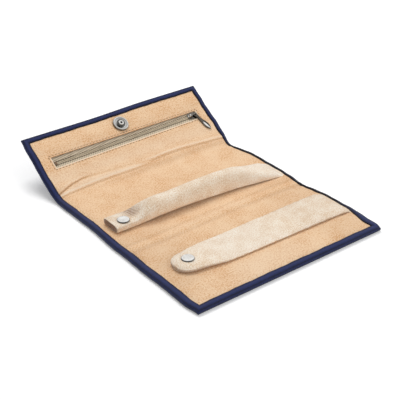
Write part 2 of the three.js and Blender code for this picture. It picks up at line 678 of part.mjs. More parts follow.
// Strap, wide and flat, with a rounded tongue that rises onto its stud
const onArch = (x, along, height) => {
  const point = arched.at(along, height);
  return new THREE.Vector3(x, point.x, point.y);
};
function strapLoop(x, width) {
  const riseFrom = STRAP_STUD_X + STUD_RADIUS;
  const raised = 1 - smoothstep(x, riseFrom, riseFrom + STRAP_TONGUE.rise);
  const low = LINING_TOP + mix(SEAT_GAP, STUD_STACK, raised);
  return loopAt(x, strapAlong, width, low, STRAP_THICKNESS, 5, 16, onArch);
}
const tongueRoot = STRAP_TIP_X + STRAP_TONGUE.length;
const roundFrom = STRAP_TIP_X + STRAP_TONGUE.round;
const strapLoops = [];
for (let i = 0; i < 10; i += 1) {
  const share = i / 10;
  const width = mix(STRAP_WIDTH, STRAP_TONGUE.shoulder, share);
  strapLoops.push(strapLoop(mix(ROOT_X, tongueRoot, share), width));
}
for (let i = 0; i < 6; i += 1) {
  const share = i / 6;
  const width = mix(STRAP_TONGUE.shoulder, STRAP_TONGUE.width, share);
  strapLoops.push(strapLoop(mix(tongueRoot, roundFrom, share), width));
}
for (let i = 0; i <= 9; i += 1) {
  const turn = i / 9 * Math.PI * 0.49;
  const x = roundFrom - STRAP_TONGUE.round * Math.sin(turn);
  strapLoops.push(strapLoop(x, STRAP_TONGUE.width * Math.cos(turn) ** 0.8));
}
add(group, 'strap', cut(loft(strapLoops), at(shankHole, strapStudSeat)), cream);
add(group, 'strap_socket', studSocket(), nickel, strapStudSeat);
add(group, 'strap_cap', studCap(STRAP_THICKNESS), nickel, strapStudSeat);

export default group;
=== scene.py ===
"""Open tri-fold roll in navy leather: the soft pieces and finishes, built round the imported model."""

import json
import math

import bmesh
import bpy
import numpy as np
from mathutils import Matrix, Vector


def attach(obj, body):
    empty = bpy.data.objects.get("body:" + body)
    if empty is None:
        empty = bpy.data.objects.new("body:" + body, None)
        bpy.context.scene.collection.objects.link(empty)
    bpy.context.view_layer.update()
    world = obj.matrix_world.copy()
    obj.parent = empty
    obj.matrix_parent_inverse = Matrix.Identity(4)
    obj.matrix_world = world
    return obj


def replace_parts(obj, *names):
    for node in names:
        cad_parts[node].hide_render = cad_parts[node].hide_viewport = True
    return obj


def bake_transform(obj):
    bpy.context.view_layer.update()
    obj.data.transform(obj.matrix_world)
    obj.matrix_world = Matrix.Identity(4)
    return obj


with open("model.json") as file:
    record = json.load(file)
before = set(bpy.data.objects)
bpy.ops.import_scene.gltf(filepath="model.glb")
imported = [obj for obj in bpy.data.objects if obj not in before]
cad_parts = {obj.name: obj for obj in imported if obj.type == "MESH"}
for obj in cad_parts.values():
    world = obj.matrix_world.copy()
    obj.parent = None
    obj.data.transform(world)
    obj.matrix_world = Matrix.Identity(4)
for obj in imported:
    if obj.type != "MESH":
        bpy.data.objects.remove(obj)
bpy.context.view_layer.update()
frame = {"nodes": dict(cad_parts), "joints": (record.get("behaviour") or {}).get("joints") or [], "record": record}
scene = bpy.context.scene
JOINTS = {joint["name"]: joint for joint in frame["joints"]}

# Lengths below are in millimetres; MM turns them into the frame's metres
MM = 0.001
# The finishes of the soft pieces are laid out in flat coordinates, counted in decimetres
FLAT_UNIT = 100.0


def fold_y(name):
    return JOINTS[name]["pos_m"][1] / MM


# Layers, as in the solids
WIDTH = 178.0
THICK = 4.0
COVER = 0.8
LINING_THICK = 0.6
LINING_TOP = 3.2
LAYER_GAP = 0.1
TURNED_FACE = 5.0
STUD_STACK = 2.6
TAB_THICK = 3.5
STRAP_THICK = 2.2

# Places along the roll: s runs from the flap crease, up the flap, and negative toward the front
CREASE_Y = fold_y("flap_fold")
RAISED = math.radians(-JOINTS["flap_fold"]["range_deg"][0])
FLAP_END = 63.0
S_TOP = CREASE_Y - fold_y("flap_spine_fold")
S_BASE = -S_TOP
S_INNER = fold_y("front_fold") - CREASE_Y
S_OUTER = fold_y("front_fold_outer") - CREASE_Y
S_FRONT_CREASE = (S_INNER + S_OUTER) / 2
FRONT_LENGTH = 73.8
FRONT_REACH = 1.7
FRONT_END = S_OUTER - FRONT_LENGTH - FRONT_REACH
FRONT_ARCH = 2.6
ARCH_HALF = 4 * FRONT_ARCH / FRONT_LENGTH
ARCH_RADIUS = FRONT_LENGTH / (2 * ARCH_HALF)
ARCH_CHORD = ARCH_RADIUS * math.sin(ARCH_HALF)

BAR_Y = -16.0
BAR_S = BAR_Y - CREASE_Y
STRAP_S = -140.0
STRAP_WIDTH = 36.0
PULL_X = JOINTS["pull_swing"]["pos_m"][0] / MM
PULL_S = (fold_y("pull_swing") - CREASE_Y) / math.cos(RAISED)
ZIP_AXIS = JOINTS["zip_slide"]["axis"]
ZIP_SLOPE = math.hypot(ZIP_AXIS[1], ZIP_AXIS[2]) / ZIP_AXIS[0]
SNAP_INSET = 15.4
SNAP_S = FLAP_END - SNAP_INSET
WINDOW_HALF = 74.0
WINDOW_BELOW = 4.1
WINDOW_TOP = 37.5


def smooth(value, low, high):
    t = np.clip((np.asarray(value, float) - low) / (high - low), 0, 1)
    return t * t * (3 - 2 * t)


def within(value, rise, fall):
    """1 between two ramps, each given as (from, to), and 0 outside them."""
    return smooth(value, *rise) * (1 - smooth(value, *fall))


def hump(value, middle, spread):
    return np.exp(-(((np.asarray(value, float) - middle) / spread) ** 2))


def humps(value, *parts):
    """Humps added up, each given as its height, middle, spread and, if it has one, its weight."""
    return sum(part[0] * hump(value, *part[1:3]) * (part[3] if part[3:] else 1.0) for part in parts)


def waves(value, *parts):
    """Sines added up, each given as its height, rate and start."""
    return sum(height * np.sin(value * rate + start) for height, rate, start in parts)


def mix(a, b, t):
    return a + (b - a) * t


def zip_line(x):
    """S of the zip's middle, which drops toward the left."""
    return PULL_S + (np.asarray(x, float) - PULL_X) * ZIP_SLOPE


def window_low(x):
    return zip_line(x) - WINDOW_BELOW


def from_window(x, s):
    """Distance outward from the edge of the zip's window."""
    return np.maximum.reduce([np.abs(x) - WINDOW_HALF, window_low(x) - s, s - WINDOW_TOP])


# The roll's own surface

# Half the length over which a fold is rounded: the crease at its left and right, then the front fold
CREASE_EASE = (4.5, 11.0)
FRONT_EASE = 9.0
# Toward its sides the front panel's arch flattens, less so at the right
ARCH_SIDE = (66.0, 86.0)
ARCH_LOST_RIGHT = 0.35
# The flap's free end sinks at its left
FLAP_SINK = 1.6


def straight(s):
    """Y, Z and slope at the top of the turned edge, with sharp folds."""
    along = S_OUTER - s
    turn = np.clip(along, 0, None) / ARCH_RADIUS - ARCH_HALF
    reach = ARCH_RADIUS + THICK
    arch_y = CREASE_Y + S_OUTER - ARCH_CHORD - reach * np.sin(turn)
    arch_z = reach * np.cos(turn) - ARCH_RADIUS * math.cos(ARCH_HALF)
    y = np.where(s >= 0, CREASE_Y + s * math.cos(RAISED), CREASE_Y + s)
    z = np.where(s >= 0, THICK + s * math.sin(RAISED), THICK)
    slope = np.where(s >= 0, RAISED, 0.0)
    on_arch = s < S_OUTER
    return np.where(on_arch, arch_y, y), np.where(on_arch, arch_z, z), np.where(on_arch, turn, slope)


def eased(s, middle, half, y, z, slope):
    """Rounds the fold at middle over half on each side."""
    y0, z0, a0 = straight(middle - half)
    y2, z2, a2 = straight(middle + half)
    cross = np.cos(a0) * np.sin(a2) - np.sin(a0) * np.cos(a2)
    step = ((y2 - y0) * np.sin(a2) - (z2 - z0) * np.cos(a2)) / cross
    y1, z1 = y0 + step * np.cos(a0), z0 + step * np.sin(a0)
    t = np.clip((s - middle + half) / (2 * half), 0, 1)
    inside = np.abs(s - middle) < half
    curve_y = (1 - t) ** 2 * y0 + 2 * t * (1 - t) * y1 + t**2 * y2
    curve_z = (1 - t) ** 2 * z0 + 2 * t * (1 - t) * z1 + t**2 * z2
    run = (1 - t) * (y1 - y0) + t * (y2 - y1)
    rise = (1 - t) * (z1 - z0) + t * (z2 - z1)
    turned = np.arctan2(rise, run)
    return np.where(inside, curve_y, y), np.where(inside, curve_z, z), np.where(inside, turned, slope)


def place(x, s, h):
    """Points in the frame for x across, s along and h above the roll's outside."""
    x, s, h = np.broadcast_arrays(*(np.asarray(v, float) for v in (x, s, h)))
    y, z, slope = straight(s)
    crease_half = mix(*CREASE_EASE, smooth(x, -60, 89))
    y, z, slope = eased(s, 0.0, crease_half, y, z, slope)
    y, z, slope = eased(s, S_OUTER, np.full_like(s, FRONT_EASE), y, z, slope)
    arch = np.where(s < S_OUTER + FRONT_EASE, np.clip(z - THICK * np.cos(slope), 0, None), 0.0)
    z -= arch * np.where(x < 0, smooth(-x, *ARCH_SIDE), ARCH_LOST_RIGHT * smooth(x, *ARCH_SIDE))
    z -= FLAP_SINK * smooth(s, 44, 60) * smooth(-x, -40, 30)
    y -= np.sin(slope) * (h - THICK)
    z += np.cos(slope) * (h - THICK)
    return np.stack([x, y, z], axis=-1) * MM


def flat_at(x, s):
    """Flat coordinates for x across and s along the roll."""
    return np.stack(np.broadcast_arrays(x, s), axis=-1) / FLAT_UNIT


# Along the whole edge; at the front right corner; on the left, and there beside the bar
EDGE_INSET = 0.35
CORNER_ROUND = 1.7
LEFT_BULGE = 1.7
BAR_NIP = 1.2


def side_edge(side, s):
    """Where the roll's long edge lies: pulled in at the folds' ends, a little wavy."""
    if side > 0:
        pull = humps(s, (4.6, -8.0, 9.5), (1.2, -20.0, 7.0), (2.6, -99.0, 10.0), (-0.5, -50.0, 16.0))
        wave = waves(s, (0.22, 0.21, 0.0), (0.15, 0.47, 1.0))
        rounding = CORNER_ROUND * (1 - smooth(s, FRONT_END - 1, FRONT_END + 6))
    else:
        pull = humps(s, (0.4, -2.0, 6.0), (-0.4, -84.0, 12.0)) - LEFT_BULGE
        pull += BAR_NIP * within(s, (-110, -45), (-28, 0))
        wave = waves(s, (0.2, 0.13, 2.0), (0.05, 0.53, 0.0))
        rounding = 0.0
    still = within(s, (FRONT_END + 2, FRONT_END + 14), (FLAP_END - 14, FLAP_END - 2))
    return side * (WIDTH / 2 - (pull + wave + EDGE_INSET) * still - rounding)


def border(side, s):
    """Width of the turned edge on one long side."""
    ripple = waves(s, (0.16, 0.21, side), (0.04, 0.79, 0.0))
    if side > 0:
        slim = within(s, (FRONT_END + 22, FRONT_END + 48), (0, 14))
        broad = 1 - smooth(s, FRONT_END + 8, FRONT_END + 28)
        return TURNED_FACE - 1.7 * slim + 1.6 * broad + ripple
    return TURNED_FACE + 0.9 + 0.6 * (1 - smooth(s, -110, -60)) + ripple


def end_width(s_end):
    """Plain width of the turned edge at the flap's or the front panel's end."""
    return TURNED_FACE + (0.4 if s_end > 0 else 1.2)


def end_border(x, s_end):
    return end_width(s_end) + waves(x, (0.15, 0.21, 0.0), (0.1, 0.55, 1.0))


# Mesh making

WELD = 0.002 * MM


def into_scene(name, bm, material):
    """Makes a smooth object of a bmesh, with its finish."""
    mesh = bpy.data.meshes.new(name)
    bm.to_mesh(mesh)
    bm.free()
    mesh.shade_smooth()
    mesh.materials.append(material)
    obj = bpy.data.objects.new(name, mesh)
    scene.collection.objects.link(obj)
    return obj


def piece(name, patches, material, skip=None):
    """One welded mesh from grids of (points, flat coordinates, wear and painted shade); cells marked in skip stay
    open.
    """
    bm = bmesh.new()
    flat_layer = bm.loops.layers.uv.new("flat")
    wear_layer = bm.verts.layers.float.new("wear_and_shade")
    for points, flat, wear_and_shade in patches:
        rows, cols = points.shape[:2]
        verts = [bm.verts.new(p) for p in points.reshape(-1, 3)]
        for vert, value in zip(verts, np.broadcast_to(wear_and_shade, (rows, cols)).reshape(-1)):
            vert[wear_layer] = float(value)
        for i, j in np.ndindex(rows - 1, cols - 1):
            if skip is not None and skip[i, j]:
                continue
            corners = [(i, j), (i, j + 1), (i + 1, j + 1), (i + 1, j)]
            face = bm.faces.new([verts[a * cols + b] for a, b in corners])
            for loop, (a, b) in zip(face.loops, corners):
                loop[flat_layer].uv = flat[a, b]
    bmesh.ops.remove_doubles(bm, verts=bm.verts, dist=WELD)
    loose = [v for v in bm.verts if not v.link_faces]
    bmesh.ops.delete(bm, geom=loose, context="VERTS")
    return into_scene(name, bm, material)


def faced_out(obj, fill=False):
    """Turns the faces of a piece outward, and first fills its open ends if asked."""
    bm = bmesh.new()
    bm.from_mesh(obj.data)
    if fill:
        bmesh.ops.holes_fill(bm, edges=[e for e in bm.edges if e.is_boundary], sides=0)
    bmesh.ops.recalc_face_normals(bm, faces=bm.faces)
    bm.to_mesh(obj.data)
    bm.free()
    obj.data.shade_smooth()
    return obj


def finished(obj, sharp, thickness=0.0, offset=-1.0):
    """Gives a sheet its thickness and marks the edges that bend by more than sharp degrees."""
    if thickness:
        solid = obj.modifiers.new("thickness", "SOLIDIFY")
        solid.thickness = thickness * MM
        solid.offset = offset
        bpy.context.view_layer.update()
        graph = bpy.context.evaluated_depsgraph_get()
        mesh = bpy.data.meshes.new_from_object(
            obj.evaluated_get(graph), preserve_all_data_layers=True, depsgraph=graph
        )
        obj.modifiers.clear()
        obj.data = mesh
    obj.data.set_sharp_from_angle(angle=math.radians(sharp))
    return obj


def steps(low, high, size):
    return np.linspace(low, high, max(2, int(round(abs(high - low) / size)) + 1))


# Finishes


def feed(tree, socket, value):
    if isinstance(value, bpy.types.NodeSocket):
        tree.links.new(value, socket)
    else:
        socket.default_value = value


def add_node(tree, kind, inputs=None, **settings):
    """A shader node, its kind given without the word ShaderNode, with its inputs and settings."""
    node = tree.nodes.new(f"ShaderNode{kind}")
    for key, value in settings.items():
        setattr(node, key, value)
    for key, value in (inputs or {}).items():
        feed(tree, node.inputs[key], value)
    return node


def new_finish(name):
    material = bpy.data.materials.new(name)
    material.use_nodes = True
    return material, material.node_tree


def set_shader(tree, **values):
    """Feeds the shader's sockets, named with _ for a space."""
    for key, value in values.items():
        feed(tree, tree.nodes["Principled BSDF"].inputs[key.replace("_", " ")], value)


def linear(red, green, blue):
    """A screen colour, 0 to 255, as the shader wants it."""
    values = [c / 255 for c in (red, green, blue)]
    return tuple(c / 12.92 if c <= 0.04045 else ((c + 0.055) / 1.055) ** 2.4 for c in values) + (1.0,)


def effect_group(name, build, inputs, outputs):
    """A node group; build gets its tree and inputs, and returns what goes to its outputs."""
    group = bpy.data.node_groups.new(name, "ShaderNodeTree")
    for side, sockets in (("INPUT", inputs), ("OUTPUT", outputs)):
        for label, kind in sockets.items():
            group.interface.new_socket(name=label, in_out=side, socket_type=f"NodeSocket{kind}")
    source = group.nodes.new("NodeGroupInput").outputs
    target = group.nodes.new("NodeGroupOutput").inputs
    for label, value in zip(outputs, build(group, *(source[label] for label in inputs))):
        group.links.new(value, target[label])
    return group


def math_node(tree, operation, a, b=0.0, c=0.0):
    return add_node(tree, "Math", {0: a, 1: b, 2: c}, operation=operation).outputs[0]


def vector_node(tree, operation, a, b):
    outputs = add_node(tree, "VectorMath", {0: a, 1: b}, operation=operation).outputs
    return outputs["Value" if operation == "DOT_PRODUCT" else "Vector"]


def range_node(tree, value, to_low, to_high, from_low=0.0, from_high=1.0):
    limits = {"From Min": from_low, "From Max": from_high, "To Min": to_low, "To Max": to_high}
    return add_node(tree, "MapRange", {"Value": value, **limits}).outputs[0]


def colour_mix_node(tree, share, first, second):
    return add_node(tree, "Mix", {0: share, 6: first, 7: second}, data_type="RGBA").outputs[2]


def noise_node(tree, vector, scale, detail, roughness=0.55):
    inputs = {"Vector": vector, "Scale": scale, "Detail": detail, "Roughness": roughness}
    return add_node(tree, "TexNoise", inputs).outputs["Fac"]


def nap_effect(tree, where, cloud_scale, stubble_scale, cloud_share):
    """Cloud-like shading of a brushed surface, with the fine stubble of its nap."""
    clouds = noise_node(tree, where, cloud_scale, detail=4.0)
    stubble = noise_node(tree, where, stubble_scale, detail=2.0, roughness=0.7)
    cloud_part = math_node(tree, "MULTIPLY", clouds, cloud_share)
    stubble_part = math_node(tree, "MULTIPLY", stubble, math_node(tree, "SUBTRACT", 1.0, cloud_share))
    return math_node(tree, "ADD", cloud_part, stubble_part), stubble


def weave_effect(tree, where, threads, slant):
    """Threads crossing under and over; a full slant gives the ribs of a herringbone."""
    x, y, _ = add_node(tree, "SeparateXYZ", {0: where}).outputs
    lean = math_node(tree, "MULTIPLY", math_node(tree, "ABSOLUTE", y), slant)
    turns = math_node(tree, "MULTIPLY", threads, 2 * math.pi)
    warp = math_node(tree, "SINE", math_node(tree, "MULTIPLY", math_node(tree, "ADD", x, lean), turns))
    weft = math_node(tree, "SINE", math_node(tree, "MULTIPLY", y, turns))
    plain = math_node(tree, "SUBTRACT", 1.0, slant)
    hidden = math_node(tree, "ADD", math_node(tree, "MULTIPLY", weft, plain), slant)
    both = math_node(tree, "MULTIPLY", warp, hidden)
    return (math_node(tree, "MULTIPLY_ADD", both, 0.5, 0.5),)


def handling_effect(tree, where):
    """Smears and fine scratches of metal that has been handled."""
    stretched = vector_node(tree, "MULTIPLY", where, (1.0, 0.12, 0.3))
    smear = noise_node(tree, where, 220.0, detail=3.0)
    return smear, noise_node(tree, stretched, 1400.0, detail=2.0, roughness=0.8)


def spot_effect(tree, where, middle, length_share, breadth_share):
    """An oval spot that fades toward its edge; the shares turn an offset into parts of its half axes."""
    off = vector_node(tree, "SUBTRACT", where, middle)
    shares = [vector_node(tree, "DOT_PRODUCT", off, axis) for axis in (length_share, breadth_share)]
    squares = [math_node(tree, "MULTIPLY", share, share) for share in shares]
    return (range_node(tree, math_node(tree, "ADD", *squares), 1.0, 0.0, from_low=0.3),)


def wear_and_shade_effect(tree, colour, pale, dark, wear_and_shade):
    """Paler where a piece is worn and where a highlight is painted, darker at dark edges and where shade is
    painted.
    """
    paled_and_highlit = math_node(tree, "MAXIMUM", wear_and_shade, 0.0)
    shaded = math_node(tree, "MAXIMUM", math_node(tree, "MULTIPLY", wear_and_shade, -1.0), 0.0)
    return (colour_mix_node(tree, shaded, colour_mix_node(tree, paled_and_highlit, colour, pale), dark),)


BRUSHED_NAP = effect_group(
    "brushed_nap",
    nap_effect,
    {"Place": "Vector", "Cloud scale": "Float", "Stubble scale": "Float", "Cloud share": "Float"},
    {"Shade": "Float", "Height": "Float"},
)
CROSSED_THREADS = effect_group(
    "crossed_threads",
    weave_effect,
    {"Place": "Vector", "Threads": "Float", "Slant": "Float"},
    {"Height": "Float"},
)
HANDLED_METAL = effect_group(
    "handled_metal", handling_effect, {"Place": "Vector"}, {"Smear": "Float", "Scratch": "Float"}
)
HIGHLIGHT_SPOT = effect_group(
    "painted_highlight_spot",
    spot_effect,
    {"Place": "Vector", "Middle": "Vector", "Length share": "Vector", "Breadth share": "Vector"},
    {"Highlight": "Float"},
)
WORN_AND_SHADED = effect_group(
    "worn_and_painted_shade",
    wear_and_shade_effect,
    {"Colour": "Color", "Pale": "Color", "Dark": "Color", "Wear and shade": "Float"},
    {"Colour": "Color"},
)


def group_node(tree, group, inputs):
    return add_node(tree, "Group", inputs, node_tree=group).outputs


def napped(tree, where, clouds, stubble, share):
    values = {"Place": where, "Cloud scale": clouds, "Stubble scale": stubble, "Cloud share": share}
    return group_node(tree, BRUSHED_NAP, values)


def worn_and_shaded(tree, colour, pale, dark):
    # The attribute carries rubbed wear together with painted shade and painted highlights
    wear_and_shade = add_node(tree, "Attribute", attribute_name="wear_and_shade").outputs["Fac"]
    values = {"Colour": colour, "Pale": linear(*pale), "Dark": linear(*dark), "Wear and shade": wear_and_shade}
    return group_node(tree, WORN_AND_SHADED, values)["Colour"]


def ramp(tree, factor, *stops):
    node = add_node(tree, "ValToRGB", {"Fac": factor})
    elements = node.color_ramp.elements
    while len(elements) < len(stops):
        elements.new(0.5)
    for element, (position, colour) in zip(elements, stops):
        element.position = position
        element.color = linear(*colour)
    return node.outputs["Color"]


def flat_place(tree):
    return add_node(tree, "UVMap", uv_map="flat").outputs["UV"]


def object_place(tree):
    return add_node(tree, "TexCoord").outputs["Object"]


def bumped(tree, height, strength, distance, under=None):
    """A bumped normal; distance is in metres, under is a normal to add the bumps to."""
    inputs = {"Height": height, "Strength": strength, "Distance": distance}
    if under is not None:
        inputs["Normal"] = under
    return add_node(tree, "Bump", inputs).outputs["Normal"]


def leather_finish():
    material, tree = new_finish("navy_leather")
    where = flat_place(tree)
    clouds = napped(tree, where, clouds=9.0, stubble=60.0, share=0.35)["Shade"]
    cells = add_node(
        tree, "TexVoronoi", {"Vector": where, "Scale": 95.0, "Randomness": 1.0}, feature="SMOOTH_F1"
    ).outputs["Distance"]
    shades = (0.36, (18, 24, 49)), (0.5, (24, 32, 66)), (0.64, (34, 44, 84))
    hide = ramp(tree, clouds, *shades)
    set_shader(
        tree,
        Base_Color=worn_and_shaded(tree, hide, pale=(50, 58, 106), dark=(23, 18, 23)),
        Roughness=range_node(tree, clouds, 0.42, 0.6),
        Normal=bumped(tree, cells, strength=0.35, distance=0.0002),
        Specular_IOR_Level=0.22,
    )
    return material


def cloth_finish(name, nap_scales, shades, pale, dark, nap_bump=None, weave=None, weave_bump=None, **shader):
    """Napped or woven stuff; a weave is its threads, slant and weight, a bump its strength and distance."""
    material, tree = new_finish(name)
    where = flat_place(tree)
    brushed = napped(tree, where, *nap_scales)
    shade, normal = brushed["Shade"], None
    if weave:
        threads, slant, weight = weave
        values = {"Place": where, "Threads": threads, "Slant": slant}
        ribs = group_node(tree, CROSSED_THREADS, values)["Height"]
        shade = math_node(tree, "ADD", shade, math_node(tree, "MULTIPLY", ribs, weight))
        normal = bumped(tree, ribs, *weave_bump)
    if nap_bump:
        normal = bumped(tree, brushed["Height"], *nap_bump, under=normal)
    colour = worn_and_shaded(tree, ramp(tree, shade, *shades), pale, dark)
    set_shader(tree, Base_Color=colour, Normal=normal, **shader)
    return material


def thread_finish():
    material, tree = new_finish("stitch_thread")
    twist = noise_node(tree, object_place(tree), 2600.0, detail=1.0)
    set_shader(
        tree,
        Base_Color=ramp(tree, twist, (0.3, (130, 97, 68)), (0.7, (172, 137, 102))),
        Roughness=0.8,
        Normal=bumped(tree, twist, strength=0.4, distance=0.0001),
    )
    return material


def padding_finish():
    material, tree = new_finish("soft_padding")
    nap = napped(tree, object_place(tree), clouds=60.0, stubble=900.0, share=0.5)
    shades = (0.3, (205, 200, 190)), (0.7, (228, 224, 215))
    set_shader(
        tree,
        Base_Color=ramp(tree, nap["Shade"], *shades),
        Roughness=1.0,
        Normal=bumped(tree, nap["Height"], strength=0.4, distance=0.0003),
    )
    return material


def metal_finish(name, dark, bright, rough, paled_and_highlit=None):
    """Handled metal; its last argument gives a spot where a highlight is painted."""
    material, tree = new_finish(name)
    where = object_place(tree)
    marks = group_node(tree, HANDLED_METAL, {"Place": where})
    plate = ramp(tree, marks["Smear"], (0.3, dark), (0.7, bright))
    if paled_and_highlit is not None:
        # Painted highlight: the spot is mixed toward near-white
        highlight_share = group_node(tree, HIGHLIGHT_SPOT, {"Place": where, **paled_and_highlit})["Highlight"]
        plate = colour_mix_node(tree, highlight_share, plate, linear(236, 234, 229))
    set_shader(
        tree,
        Base_Color=worn_and_shaded(tree, plate, pale=(246, 245, 242), dark=(48, 46, 43)),
        Metallic=1.0,
        Roughness=range_node(tree, marks["Smear"], *rough),
        Normal=bumped(tree, marks["Scratch"], strength=0.08, distance=0.0001),
    )
    return material


def spot(x, s, height, lean, half_length, half_breadth):
    """Place and shares of a spot with a painted highlight, in the frame."""
    c, d = math.cos(lean), math.sin(lean)
    middle = place(x, s, height)
    ahead = Vector(place(x + half_length * d, s - half_length * c, height) - middle)
    aside = Vector(place(x + half_breadth * c, s + half_breadth * d, height) - middle)
    shares = {"Length share": ahead / ahead.length_squared, "Breadth share": aside / aside.length_squared}
    return {"Middle": Vector(middle), **shares}


# A highlight is painted on the slider's knob and on the broad part of the pull
KNOB_X = 65.8
KNOB_S = float(zip_line(KNOB_X))
PULL_LEAN = math.radians(19)
PULL_LENGTH = 19.4
PULL_BELLY = 0.74 * PULL_LENGTH
BELLY_X = PULL_X + PULL_BELLY * math.sin(PULL_LEAN)
BELLY_S = PULL_S - PULL_BELLY * math.cos(PULL_LEAN)
KNOB_HIGHLIGHT = spot(KNOB_X, KNOB_S, height=5.5, lean=0.0, half_length=1.5, half_breadth=1.5)
PULL_HIGHLIGHT = spot(BELLY_X, BELLY_S, height=4.5, lean=PULL_LEAN, half_length=5.2, half_breadth=1.15)

NAVY = leather_finish()
LINING = cloth_finish(
    "napped_lining",
    nap_scales=(5.0, 86.0, 0.28),
    shades=((0.38, (206, 147, 96)), (0.5, (228, 182, 136)), (0.62, (245, 213, 177))),
    pale=(251, 235, 214),
    dark=(150, 100, 62),
    nap_bump=(0.3, 0.0003),
    weave=(78.0, 0.0, 0.14),
    weave_bump=(0.25, 0.00012),
    Roughness=0.92,
    Sheen_Weight=0.15,
    Sheen_Roughness=0.5,
    Specular_IOR_Level=0.15,
)
SUEDE = cloth_finish(
    "cream_suede",
    nap_scales=(9.0, 96.0, 0.3),
    shades=((0.41, (225, 197, 165)), (0.5, (242, 222, 198)), (0.6, (252, 243, 228))),
    pale=(252, 246, 236),
    dark=(122, 72, 42),
    nap_bump=(0.5, 0.0004),
    Roughness=0.95,
    Sheen_Weight=0.2,
    Sheen_Roughness=0.5,
    Specular_IOR_Level=0.1,
)
TAPE = cloth_finish(
    "woven_tape",
    nap_scales=(12.0, 150.0, 0.5),
    shades=((0.44, (126, 111, 91)), (0.74, (186, 170, 147)), (1.0, (220, 206, 183))),
    pale=(214, 200, 174),
    dark=(52, 42, 32),
    weave=(44.0, 1.0, 0.5),
    weave_bump=(0.6, 0.00015),
    Roughness=0.85,
    Specular_IOR_Level=0.2,
)
THREAD = thread_finish()
NICKEL = metal_finish("bright_nickel", (212, 210, 206), (238, 237, 234), rough=(0.1, 0.24))
SLOT_FINISH = {
    "navy_leather": NAVY,
    "napped_lining": LINING,
    "cream_suede": SUEDE,
    "padding": padding_finish(),
    "zip_tape": TAPE,
    "bright_nickel": NICKEL,
    # The slider's metal carries the painted highlight on its knob, the pull's on its broad part
    "gunmetal": metal_finish("gunmetal", (84, 81, 77), (146, 141, 134), (0.16, 0.32), KNOB_HIGHLIGHT),
    "magnet": metal_finish("dark_magnet", (70, 70, 74), (100, 100, 104), (0.4, 0.6)),
}
NODE_FINISH = {
    "zip_pull": metal_finish("pull_with_painted_highlight", (70, 66, 61), (112, 107, 100), (0.14, 0.26), PULL_HIGHLIGHT),
    "zip_stop": metal_finish("dull_stop", (112, 92, 74), (148, 125, 103), (0.4, 0.55)),
}
for entry in frame["record"]["subparts"]:
    materials = frame["nodes"][entry["node"]].data.materials
    materials.clear()
    materials.append(NODE_FINISH.get(entry["node"], SLOT_FINISH[entry["material_slot"]]))


# Leather cover with its turned edge

ROW = 1.5
COLUMN = 3.0
COVER_SHARP = 42


def edge_profile(width):
    """Inset and height round the turned edge, from under its lip to the outside."""
    lip = [(width - 0.3, 2.9), (width, 3.15), (width - 0.05, 3.45), (width - 0.45, 3.8), (width - 1.1, 4.02)]
    crown = [(width / 2 + 0.3, 4.12), (1.7, 4.02), (1.15, 3.68), (0.8, 3.62), (0.4, 3.4)]
    outer = [(0.1, 2.8), (0.0, 2.0), (0.15, 1.2), (0.55, 0.5), (1.2, 0.12), (2.2, 0.0), (4.0, 0.0)]
    return lip + crown + outer


# Along the turned edge: painted shade under its lip where it meets the lining, along its creased line and low on
# its outside;
# pale on its crown, rubbed wear and a painted highlight, and on its rubbed outer corner
EDGE_WEAR_AND_SHADE = np.array([-1, -1, -1, -0.75, -0.1, 0.6, 0.25, -0.6, -0.3, 0.25, 0.15, 0, -0.2, -0.3, -0.4, 0, 0])
EDGE_POINTS = len(EDGE_WEAR_AND_SHADE)
# How much lower the edge lies on the line where two edges meet in a corner
MITRE_DIP = np.array([0.3 if 2 <= k <= 9 else 0.0 for k in range(EDGE_POINTS)])
# On the right, between the crease and the front's end, the edge is browner and darker
DARK_EDGE = 0.8


def toward_end(s, s_fixed, s_end, inset):
    """Shifts rows so that the last one lies inset from the panel's end."""
    if s_end is None:
        return s
    reach = s_end + np.sign(s_fixed - s_end) * inset - s_fixed
    return s_fixed + (s - s_fixed) * reach / (s_end - s_fixed)


def side_strip(side, rows, s_fixed, s_end):
    """The turned edge along one long side, down to the outside."""
    profile = np.array([edge_profile(border(side, s)) for s in rows])
    inset, height = profile[..., 0], profile[..., 1]
    s = toward_end(rows[:, None], s_fixed, s_end, inset)
    if s_end is not None:
        height[-1] -= MITRE_DIP
    x = side_edge(side, s) - side * inset
    darkened = DARK_EDGE * within(rows, (FRONT_END + 16, FRONT_END + 40), (-16, 0)) * (side > 0)
    wear_and_shade = np.clip(EDGE_WEAR_AND_SHADE[None, :] - darkened[:, None], -1, 1)
    return place(x, s, height), flat_at(x + side * 2 * (THICK - height), s), wear_and_shade


def end_strip(s_fixed, s_end, columns):
    """The turned edge along a panel's free end, mitred into the long sides."""
    points = np.zeros((len(columns), EDGE_POINTS, 3))
    flat = np.zeros((len(columns), EDGE_POINTS, 2))
    inward = np.sign(s_fixed - s_end)
    for i, share in enumerate(columns):
        side = 1 if share > 0 else -1
        own = np.array(edge_profile(end_border(share * WIDTH / 2, s_end)))
        corner = np.array(edge_profile(border(side, s_end)))
        inset, height = mix(own, corner, smooth(abs(share), 0.93, 1.0)).T
        if abs(share) > 0.999:
            height -= MITRE_DIP
        s = s_end + inward * inset
        x = abs(share) * (side_edge(side, s) - side * inset)
        points[i] = place(x, s, height)
        flat[i] = flat_at(x, s - inward * 2 * (THICK - height))
    return points, flat, EDGE_WEAR_AND_SHADE


def outside_sheet(rows, s_fixed, s_end, columns):
    """The cover's outside between the turned edges."""
    inset = edge_profile(TURNED_FACE)[-1][0]
    s = toward_end(rows, s_fixed, s_end, inset)[:, None]
    left = side_edge(-1, s) + inset
    right = side_edge(1, s) - inset
    shares = columns[None, :]
    x = np.where(shares < 0, -shares * left, shares * right)
    edge = np.clip((1 - np.abs(shares)) * 20, 0, 1)
    dent = 0.12 * np.sin(x * 0.09 + s * 0.05) * np.sin(s * 0.11) * edge
    return place(x, s, np.abs(dent) * 0.6), flat_at(x, s), 0.0


